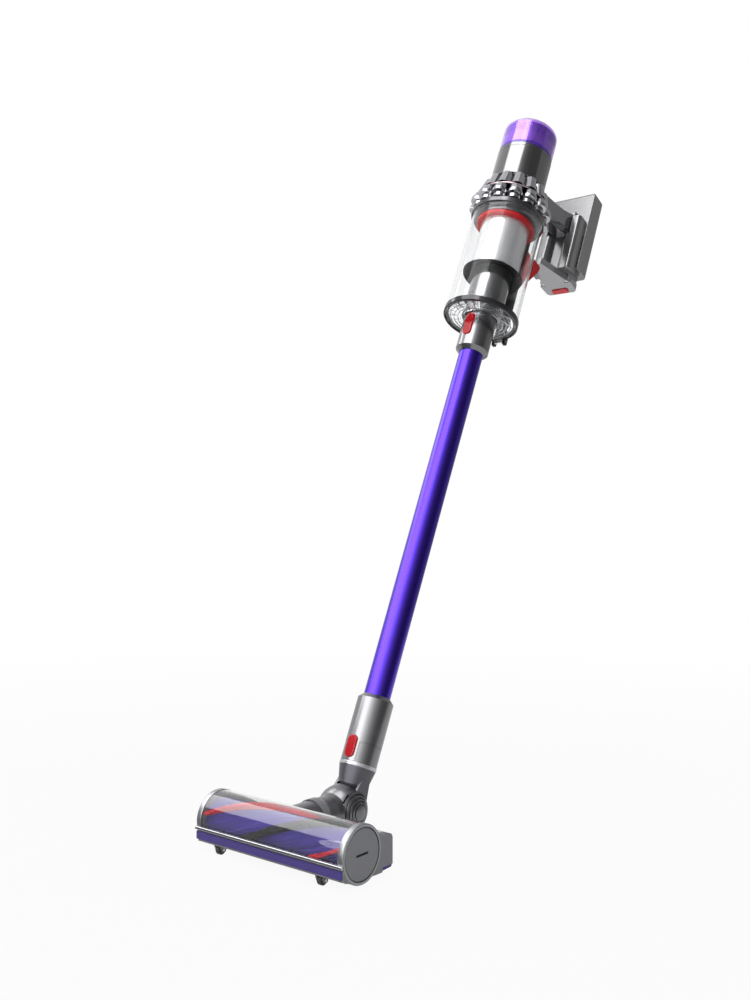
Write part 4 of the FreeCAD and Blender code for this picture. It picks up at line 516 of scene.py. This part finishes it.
def bristle_strip(name, first_angle, across_count, finish, node_name):
    """Rows of tapered fibres, wound along the roller as two strips half a turn apart."""
    step = 2 * STRIP_HALF_LENGTH / STRIP_ROWS
    made = bmesh.new()
    for half_turn in range(2):
        lean = Matrix.Rotation(math.radians(first_angle + 180 * half_turn), 4, "X")
        fibres = []
        for number in range(across_count):
            across = FIBRE_PITCH * (number - (across_count - 1) / 2)
            place = lean @ Matrix.Translation((-STRIP_HALF_LENGTH + step * (number % 2) / 2, across,
                                               FIBRE_MIDDLE))
            fibres += bmesh.ops.create_cone(made, cap_ends=True, segments=4, radius1=0.00042,
                                            radius2=0.00026, depth=FIBRE_LENGTH, matrix=place)["verts"]
        faces = {face for fibre in fibres for face in fibre.link_faces}
        edges = {edge for fibre in fibres for edge in fibre.link_edges}
        bmesh.ops.spin(made, geom=fibres + list(edges) + list(faces), cent=(0, 0, 0), axis=(1, 0, 0),
                       dvec=(step, 0, 0), angle=-STRIP_TURN, steps=STRIP_ROWS, use_duplicate=True)
    for point in made.verts:
        reach = math.hypot(point.co.y, point.co.z)
        if reach > FIBRE_MIDDLE:
            point.co.x += scatter.uniform(-FIBRE_SCATTER, FIBRE_SCATTER)
            across = scatter.uniform(-FIBRE_SCATTER, FIBRE_SCATTER)
            point.co.y += across * point.co.z / reach
            point.co.z -= across * point.co.y / reach
    bmesh.ops.translate(made, vec=(0, 0, ROLLER_HEIGHT), verts=made.verts)
    strip = finished(name, made, finish, "roller")
    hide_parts(node_name)


bristle_red = moulded("bristle_red", (0.85, 0.012, 0.04), 0.4, spread=0.15, shine=0.2)
bristle_strip("red_bristles", 70.0, 7, bristle_red, "bristle_strips_red")
bristle_black = moulded("bristle_black", (0.012, 0.012, 0.014), 0.45, spread=0.3)
bristle_strip("black_bristles", 160.0, 13, bristle_black, "bristle_strips_black")

ground_steel = moulded("ground_steel", (0.55, 0.55, 0.57), 0.25, metallic=1.0)
dress(["brush_bearing", "brush_motor"], ground_steel, edge=0)


# ---- rear bristle row ----------------------------------------------------------------------------
# A row of soft red nylon bristles is set in the chassis behind the mouth and stops dust going past.
# The fibres are held at their tops, and their free ends spread a little.

ROW_COUNT = 150
ROW_MARGIN = 0.0006
ROW_PITCH = 0.0011
ROW_FREE_END = 0.003
rear_row = bmesh.new()
row_low, row_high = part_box("rear_bristles")
row_step = (row_high[0] - row_low[0] - 2 * ROW_MARGIN) / (ROW_COUNT - 1)
for number in range(3):
    place = Matrix.Translation((row_low[0] + ROW_MARGIN, row_low[1] + ROW_MARGIN + ROW_PITCH * number,
                                (row_low[2] + row_high[2]) / 2))
    bmesh.ops.create_cone(rear_row, cap_ends=True, segments=4, radius1=0.00030, radius2=0.00045,
                          depth=row_high[2] - row_low[2], matrix=place)
bmesh.ops.spin(rear_row, geom=rear_row.verts[:] + rear_row.edges[:] + rear_row.faces[:],
               cent=(0, 0, 0), axis=(1, 0, 0), dvec=(row_step, 0, 0), angle=0.0, steps=ROW_COUNT - 1,
               use_duplicate=True)
for point in rear_row.verts:
    if point.co.z < ROW_FREE_END:
        point.co.x += scatter.uniform(-0.0004, 0.0004)
        point.co.y += scatter.uniform(-0.0003, 0.0003)
rear_bristle_row = finished("rear_bristle_row", rear_row, bristle_red, "head")
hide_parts("rear_bristles")


# ---- wheels --------------------------------------------------------------------------------------
# Two small wheels at the front and two rollers at the back are moulded in black rubber and turn on
# ground steel axles, which are pressed into bosses of the chassis.

wheel_black = moulded("wheel_rubber", (0.02, 0.02, 0.022), 0.7, grain=0.0008, depth=0.0001)
dress(["front_wheel_left", "front_wheel_right", "rear_roller_left", "rear_roller_right"], wheel_black)
dress(["wheel_axles"], ground_steel, edge=0)


# ---- suction duct, swivel and ball ---------------------------------------------------------------
# The duct from the roller chamber, its swivel collar and the ball of the elbow are moulded plastic with
# a dark satin metal coat.

elbow_satin = moulded("elbow_satin", (0.16, 0.16, 0.168), 0.30, grain=0.0003, depth=0.00001,
                      metallic=0.85)
dress(["head_duct", "swivel_collar", "ball_housing"], elbow_satin)


# ---- neck, bellows and front shield --------------------------------------------------------------
# The neck is satin nickel above its pale band. Below the band its gloss is duller and its colour
# darker; the darker colour is painted shade on the downward-facing cone. Its fork straddles a ribbed
# rubber bellows and turns on two steel pins. A thin curved shield under the cone follows the ball, so
# that the bellows doesn't show in front.

NICKEL_COLOUR = (0.20, 0.20, 0.208)
NICKEL_ROUGHNESS = 0.24
# Painted shade: the darker colour below the band stands in for the shade on the downward-facing cone.
SHADED_BELOW_BAND_COLOUR = (0.105, 0.103, 0.118)
BELOW_BAND_ROUGHNESS = 0.42
BAND_HEIGHT = 0.0565
STICK_TURN = math.radians(-24.89)
pivot = Vector(joints["elbow_pitch"]["pos_m"])
nickel = moulded("satin_nickel", NICKEL_COLOUR, NICKEL_ROUGHNESS, grain=0.00025, depth=0.000005,
                 metallic=0.92)
neck_painted_shade = moulded("neck_painted_shade", NICKEL_COLOUR, NICKEL_ROUGHNESS, grain=0.00025, depth=0.000005,
                      metallic=0.92)
neck_tree = neck_painted_shade.node_tree
neck_height = neck_tree.nodes.new("ShaderNodeSeparateXYZ")
neck_tree.links.new(place_on_object(neck_painted_shade, centre=pivot, turn_x=STICK_TURN), neck_height.inputs[0])
above_band = calculated(neck_tree, "GREATER_THAN", neck_height.outputs["Z"], BAND_HEIGHT)
neck_colour = neck_tree.nodes.new("ShaderNodeMix")
neck_colour.data_type = "RGBA"
neck_colour.inputs["A"].default_value = (*SHADED_BELOW_BAND_COLOUR, 1)
neck_colour.inputs["B"].default_value = (*NICKEL_COLOUR, 1)
neck_gloss = neck_tree.nodes.new("ShaderNodeMapRange")
neck_gloss.inputs["To Min"].default_value = BELOW_BAND_ROUGHNESS
neck_gloss.inputs["To Max"].default_value = NICKEL_ROUGHNESS
neck_shader = neck_tree.nodes["Principled BSDF"]
neck_tree.links.new(above_band, neck_colour.inputs["Factor"])
neck_tree.links.new(neck_colour.outputs["Result"], neck_shader.inputs["Base Color"])
neck_tree.links.new(above_band, neck_gloss.inputs["Value"])
neck_tree.links.new(neck_gloss.outputs["Result"], neck_shader.inputs["Roughness"])
dress(["neck_tube"], neck_painted_shade)
band_pale = moulded("band_pale", (0.52, 0.52, 0.55), 0.25, metallic=0.5)
dress(["neck_band"], band_pale)
bellows_black = moulded("bellows_rubber", (0.02, 0.02, 0.022), 0.5)
dress(["elbow_bellows"], bellows_black)
dress(["elbow_pins"], ground_steel, edge=0)

SHIELD_RADIUS = 0.0335
SHIELD_HALF_WIDTH = 0.0208
SHIELD_THICKNESS = 0.0012
SHIELD_FRONT = math.radians(25.0)
SHIELD_BACK = math.radians(24.9)
made = bmesh.new()
bmesh.ops.create_uvsphere(made, u_segments=96, v_segments=64, radius=SHIELD_RADIUS)
for place, outward in (((-SHIELD_HALF_WIDTH, 0, 0), (-1, 0, 0)),
                       ((SHIELD_HALF_WIDTH, 0, 0), (1, 0, 0)),
                       ((0, 0, 0), (0, -math.cos(SHIELD_FRONT), -math.sin(SHIELD_FRONT))),
                       ((0, 0, 0), (0, math.cos(SHIELD_BACK), -math.sin(SHIELD_BACK)))):
    bmesh.ops.bisect_plane(made, geom=made.verts[:] + made.edges[:] + made.faces[:], plane_co=place,
                           plane_no=outward, clear_outer=True)
bmesh.ops.recalc_face_normals(made, faces=made.faces)
bmesh.ops.solidify(made, geom=made.faces[:], thickness=SHIELD_THICKNESS)
bmesh.ops.translate(made, vec=pivot, verts=made.verts)
finished("neck_shield", made, elbow_satin, "neck")


# ---- wand, cuffs and latches ---------------------------------------------------------------------
# The wand is a drawn aluminium tube, brushed along its length and anodised violet. The cuffs at its ends
# are satin metallised plastic, and each carries a red latch button.

WAND_VIOLET = (0.062, 0.028, 0.40)
BRUSH_STRETCH = (1, 1, 60)
violet_metal, violet_shader = procedural("violet_anodised", WAND_VIOLET, 0.26, 1.0)
violet_where = place_on_object(violet_metal, turn_x=STICK_TURN, stretch=BRUSH_STRETCH)
mottled(violet_metal, violet_shader, violet_where, WAND_VIOLET, 0.002, 0.10, 0.28, 0.04)
grained(violet_metal, violet_shader, violet_where, 0.0004, 0.000004)
dress(["wand_tube"], violet_metal)
dress(["wand_lower_cuff", "wand_upper_cuff"], nickel)

button_red = moulded("button_red", (0.80, 0.004, 0.014), 0.15, depth=0.00001)
dress(["lower_latch_button", "upper_latch_button"], button_red)


# ---- inlet duct, shroud and collar ---------------------------------------------------------------
# The duct inside the bin is grey plastic; round it sit a black rubber skirt, the perforated steel
# shroud, a red seal and the dark collar that carries the cyclones.

inlet_grey = moulded("inlet_grey", (0.22, 0.22, 0.225), 0.15, depth=0.000006, metallic=0.9)
dress(["inlet_duct"], inlet_grey)
skirt_black = moulded("skirt_black", (0.003, 0.003, 0.0033), 0.4, shine=0.1)
dress(["shroud_skirt", "bin_runner"], skirt_black)
dress(["impeller"], skirt_black, edge=0.0002)

HOLES_ROUND = 180.0
HOLE_PITCH = 0.0014
screen_steel, screen_shader = procedural("screen_steel", (0.62, 0.62, 0.64), 0.22, 0.7)
screen_tree = screen_steel.node_tree
handheld_origin = Vector(joints["rotor_spin"]["pos_m"])
screen_split = screen_tree.nodes.new("ShaderNodeSeparateXYZ")
screen_tree.links.new(place_on_object(screen_steel, centre=handheld_origin, turn_x=STICK_TURN),
                      screen_split.inputs[0])
screen_place = screen_split.outputs
screen_angle = calculated(screen_tree, "ARCTAN2", screen_place["Y"], screen_place["X"])
around = calculated(screen_tree, "MULTIPLY", screen_angle, HOLES_ROUND)
along = calculated(screen_tree, "MULTIPLY", screen_place["Z"], 2 * math.pi / HOLE_PITCH)
screen_both = calculated(screen_tree, "MULTIPLY", calculated(screen_tree, "SINE", around),
                         calculated(screen_tree, "SINE", along))
screen_tones = screen_tree.nodes.new("ShaderNodeValToRGB")
screen_tones.color_ramp.elements[0].position = 0.62
screen_tones.color_ramp.elements[0].color = (0.70, 0.70, 0.71, 1)
screen_tones.color_ramp.elements[1].position = 0.85
screen_tones.color_ramp.elements[1].color = (0.26, 0.26, 0.265, 1)
screen_tree.links.new(screen_both, screen_tones.inputs[0])
screen_tree.links.new(screen_tones.outputs["Color"], screen_shader.inputs["Base Color"])
dress(["shroud"], screen_steel)

seal_red = moulded("seal_red", (0.40, 0.010, 0.013), 0.35, shine=0.2)
dress(["seal_ring"], seal_red)
collar_dark = moulded("collar_dark", (0.10, 0.10, 0.105), 0.2, depth=0.000006, metallic=0.85)
dress(["cyclone_collar"], collar_dark)


# ---- bin, rim and flap ---------------------------------------------------------------------------
# The bin is a clear tube in a dark glossy rim. Its flap is clear too, stiffened by rings below and fins
# above, and closes on a black rubber seal.

HANDHELD_TURN = Matrix.Rotation(STICK_TURN, 4, "X")
handheld_place = Matrix.Translation(handheld_origin) @ HANDHELD_TURN
bin_clear = see_through("bin_clear", (0.97, 0.975, 0.98), 0.008, 1.2)
dress(["bin_wall", "bin_flap"], bin_clear)
rim_dark = moulded("rim_dark", (0.035, 0.035, 0.04), 0.13, depth=0.00001, metallic=0.5)
dress(["bin_rim"], rim_dark, edge=0.0008)
dress(["flap_pin"], ground_steel, edge=0)

SEAL_BORE, SEAL_LIP, SEAL_RIM = 0.0522, 0.0538, 0.0550
SEAL_LOW, SEAL_SHOULDER, SEAL_HIGH = 0.0034, 0.0062, 0.0070
seal_rubber = moulded("seal_rubber", (0.006, 0.006, 0.007), 0.4)
made = turned_shape([(SEAL_BORE, SEAL_LOW), (SEAL_RIM, SEAL_LOW), (SEAL_RIM, SEAL_SHOULDER),
                     (SEAL_LIP, SEAL_HIGH), (SEAL_BORE, SEAL_SHOULDER)])
rounded(made, 0.0004)
bmesh.ops.transform(made, matrix=handheld_place, verts=made.verts)
finished("flap_seal", made, seal_rubber, "flap")



def band(inside, outside, low, high):
    """A plain ring with a rectangular section."""
    return turned_shape([(inside, low), (outside, low), (outside, high), (inside, high)])


def gathered(shapes):
    """Several worked shapes as one."""
    made = bmesh.new()
    for shape in shapes:
        mesh = bpy.data.meshes.new("gathered")
        shape.to_mesh(mesh)
        shape.free()
        made.from_mesh(mesh)
        bpy.data.meshes.remove(mesh)
    return made


RIB_RADII = (0.0355, 0.0415, 0.0475)
RIB_WIDTH = 0.0016
RIB_LOW, RIB_HIGH = -0.0006, 0.0009
made = gathered([rounded(band(radius, radius + RIB_WIDTH, RIB_LOW, RIB_HIGH), 0.0003)
                 for radius in RIB_RADII])
bmesh.ops.transform(made, matrix=handheld_place, verts=made.verts)
flap_smoke = see_through("flap_smoke", (0.55, 0.56, 0.58), 0.05, 1.5)
finished("flap_rings", made, flap_smoke, "flap")

FIN_SIZE = (0.0016, 0.0170, 0.0200)
FIN_SLOPE = (0, 0.006, -0.004)
FIN_PLACE = (0, -0.0425, 0.0136)
FIN_FIRST, FIN_SWEEP = math.radians(-75), math.radians(105)
FIN_STEPS = 7
made = bmesh.new()
bmesh.ops.create_cube(made, size=1.0)
bmesh.ops.scale(made, vec=FIN_SIZE, verts=made.verts)
outer_top = [corner for corner in made.verts if corner.co.z > 0 and corner.co.y < 0]
bmesh.ops.translate(made, vec=FIN_SLOPE, verts=outer_top)
rounded(made, 0.0006)
bmesh.ops.translate(made, vec=FIN_PLACE, verts=made.verts)
bmesh.ops.rotate(made, cent=(0, 0, 0), matrix=Matrix.Rotation(FIN_FIRST, 3, "Z"), verts=made.verts)
bmesh.ops.spin(made, geom=made.verts[:] + made.edges[:] + made.faces[:], cent=(0, 0, 0),
               axis=(0, 0, 1), angle=FIN_SWEEP, steps=FIN_STEPS, use_duplicate=True)
bmesh.ops.transform(made, matrix=handheld_place, verts=made.verts)
finished("flap_fins", made, window_clear, "flap")


# ---- cyclones and trim ring ----------------------------------------------------------------------
# Two tiers of cones in polished dark metallised plastic. A ring of the same finish is clipped round
# them, and a thin rose line is let into it.

dark_chrome = moulded("dark_chrome", (0.40, 0.40, 0.42), 0.04, depth=0.000002, metallic=1.0,
                      spread=0.03)
dress(["cyclone_pack", "cyclone_trim_ring"], dark_chrome)

trim_rose = moulded("trim_rose", (0.55, 0.20, 0.23), 0.25, depth=0.000004, metallic=0.6)
LINE_INSIDE, LINE_OUTSIDE = 0.0606, 0.06105
LINE_LOW, LINE_HIGH = 0.2237, 0.2243
made = band(LINE_INSIDE, LINE_OUTSIDE, LINE_LOW, LINE_HIGH)
bmesh.ops.transform(made, matrix=handheld_place, verts=made.verts)
finished("trim_line", made, trim_rose, "handheld")


# ---- motor and filter ----------------------------------------------------------------------------
# The motor sits in a smooth metallised cylinder. On top the filter twists in: a pleated paper ring in a
# smooth lavender sleeve, under a violet cap that lets the light through.

motor_satin = moulded("motor_satin", (0.19, 0.19, 0.195), 0.13, grain=0.00025, depth=0.000003,
                      metallic=0.95)
dress(["motor_housing", "filter_ring"], motor_satin)
dress(["motor_shaft", "motor_stator"], ground_steel, edge=0)
filter_violet = see_through("filter_violet", (0.68, 0.46, 0.99), 0.03, 1.5)
dress(["filter_cap"], filter_violet)
filter_paper = moulded("filter_paper", (0.75, 0.72, 0.80), 0.9)
dress(["filter_element"], filter_paper, edge=0)

SLEEVE_BORE, SLEEVE_RADIUS = 0.0415, 0.0427
SLEEVE_LOW, SLEEVE_HIGH = 0.3270, 0.3665
SLEEVE_CHAMFER = 0.0005
sleeve_lavender = moulded("sleeve_lavender", (0.54, 0.42, 0.72), 0.25, depth=0.00001, metallic=0.5)
made = turned_shape([(SLEEVE_BORE, SLEEVE_LOW + SLEEVE_CHAMFER), (SLEEVE_RADIUS, SLEEVE_LOW),
                     (SLEEVE_RADIUS, SLEEVE_HIGH - SLEEVE_CHAMFER), (SLEEVE_BORE, SLEEVE_HIGH)])
bmesh.ops.transform(made, matrix=handheld_place, verts=made.verts)
finished("filter_sleeve", made, sleeve_lavender, "filter")

RING_HEIGHTS = (0.3485, 0.3520, 0.3555, 0.3590, 0.3625)
RING_THICKNESS = 0.0008
ring_violet = moulded("ring_violet", (0.10, 0.03, 0.38), 0.35)
rings = [band(0.0426, 0.0430, height, height + RING_THICKNESS) for height in RING_HEIGHTS]
base = band(0.0406, 0.0429, 0.3205, 0.3265)
made = gathered(rings + [base])
bmesh.ops.transform(made, matrix=handheld_place, verts=made.verts)
finished("sleeve_rings", made, ring_violet, "filter")


# ---- grip, trigger and bin release lever ---------------------------------------------------------
# The grip is moulded in glossy dark plastic with flat facets and fixed to the motor's housing. The
# red plastic trigger sits under it, and the lever that frees the bin slides behind the bin's runner.

grip_gloss = moulded("grip_gloss", (0.24, 0.24, 0.25), 0.12, depth=0.000006, metallic=0.85)
dress(["grip"], grip_gloss, edge=0.0008)
lever_red = moulded("lever_red", (0.48, 0.002, 0.004), 0.3, shine=0.2)
dress(["trigger", "bin_release_lever"], lever_red, edge=0.0008)


# ---- battery -------------------------------------------------------------------------------------
# The battery slides on behind the grip: a metallised plastic case with two rounded columns, a flat foot
# plate, and a bright end cap held by two screws, with the red release button in it.

battery_grey = moulded("battery_grey", (0.24, 0.24, 0.245), 0.2, depth=0.00001, metallic=0.6)
dress(["battery_case", "battery_foot"], battery_grey, edge=0.0012, segments=3)
cap_silver = moulded("cap_silver", (0.36, 0.36, 0.37), 0.22, depth=0.000006, metallic=0.7)
dress(["battery_end_cap"], cap_silver, edge=0.0008)
dress(["battery_button"], button_red)
dress(["battery_cells", "battery_screws"], ground_steel, edge=0)
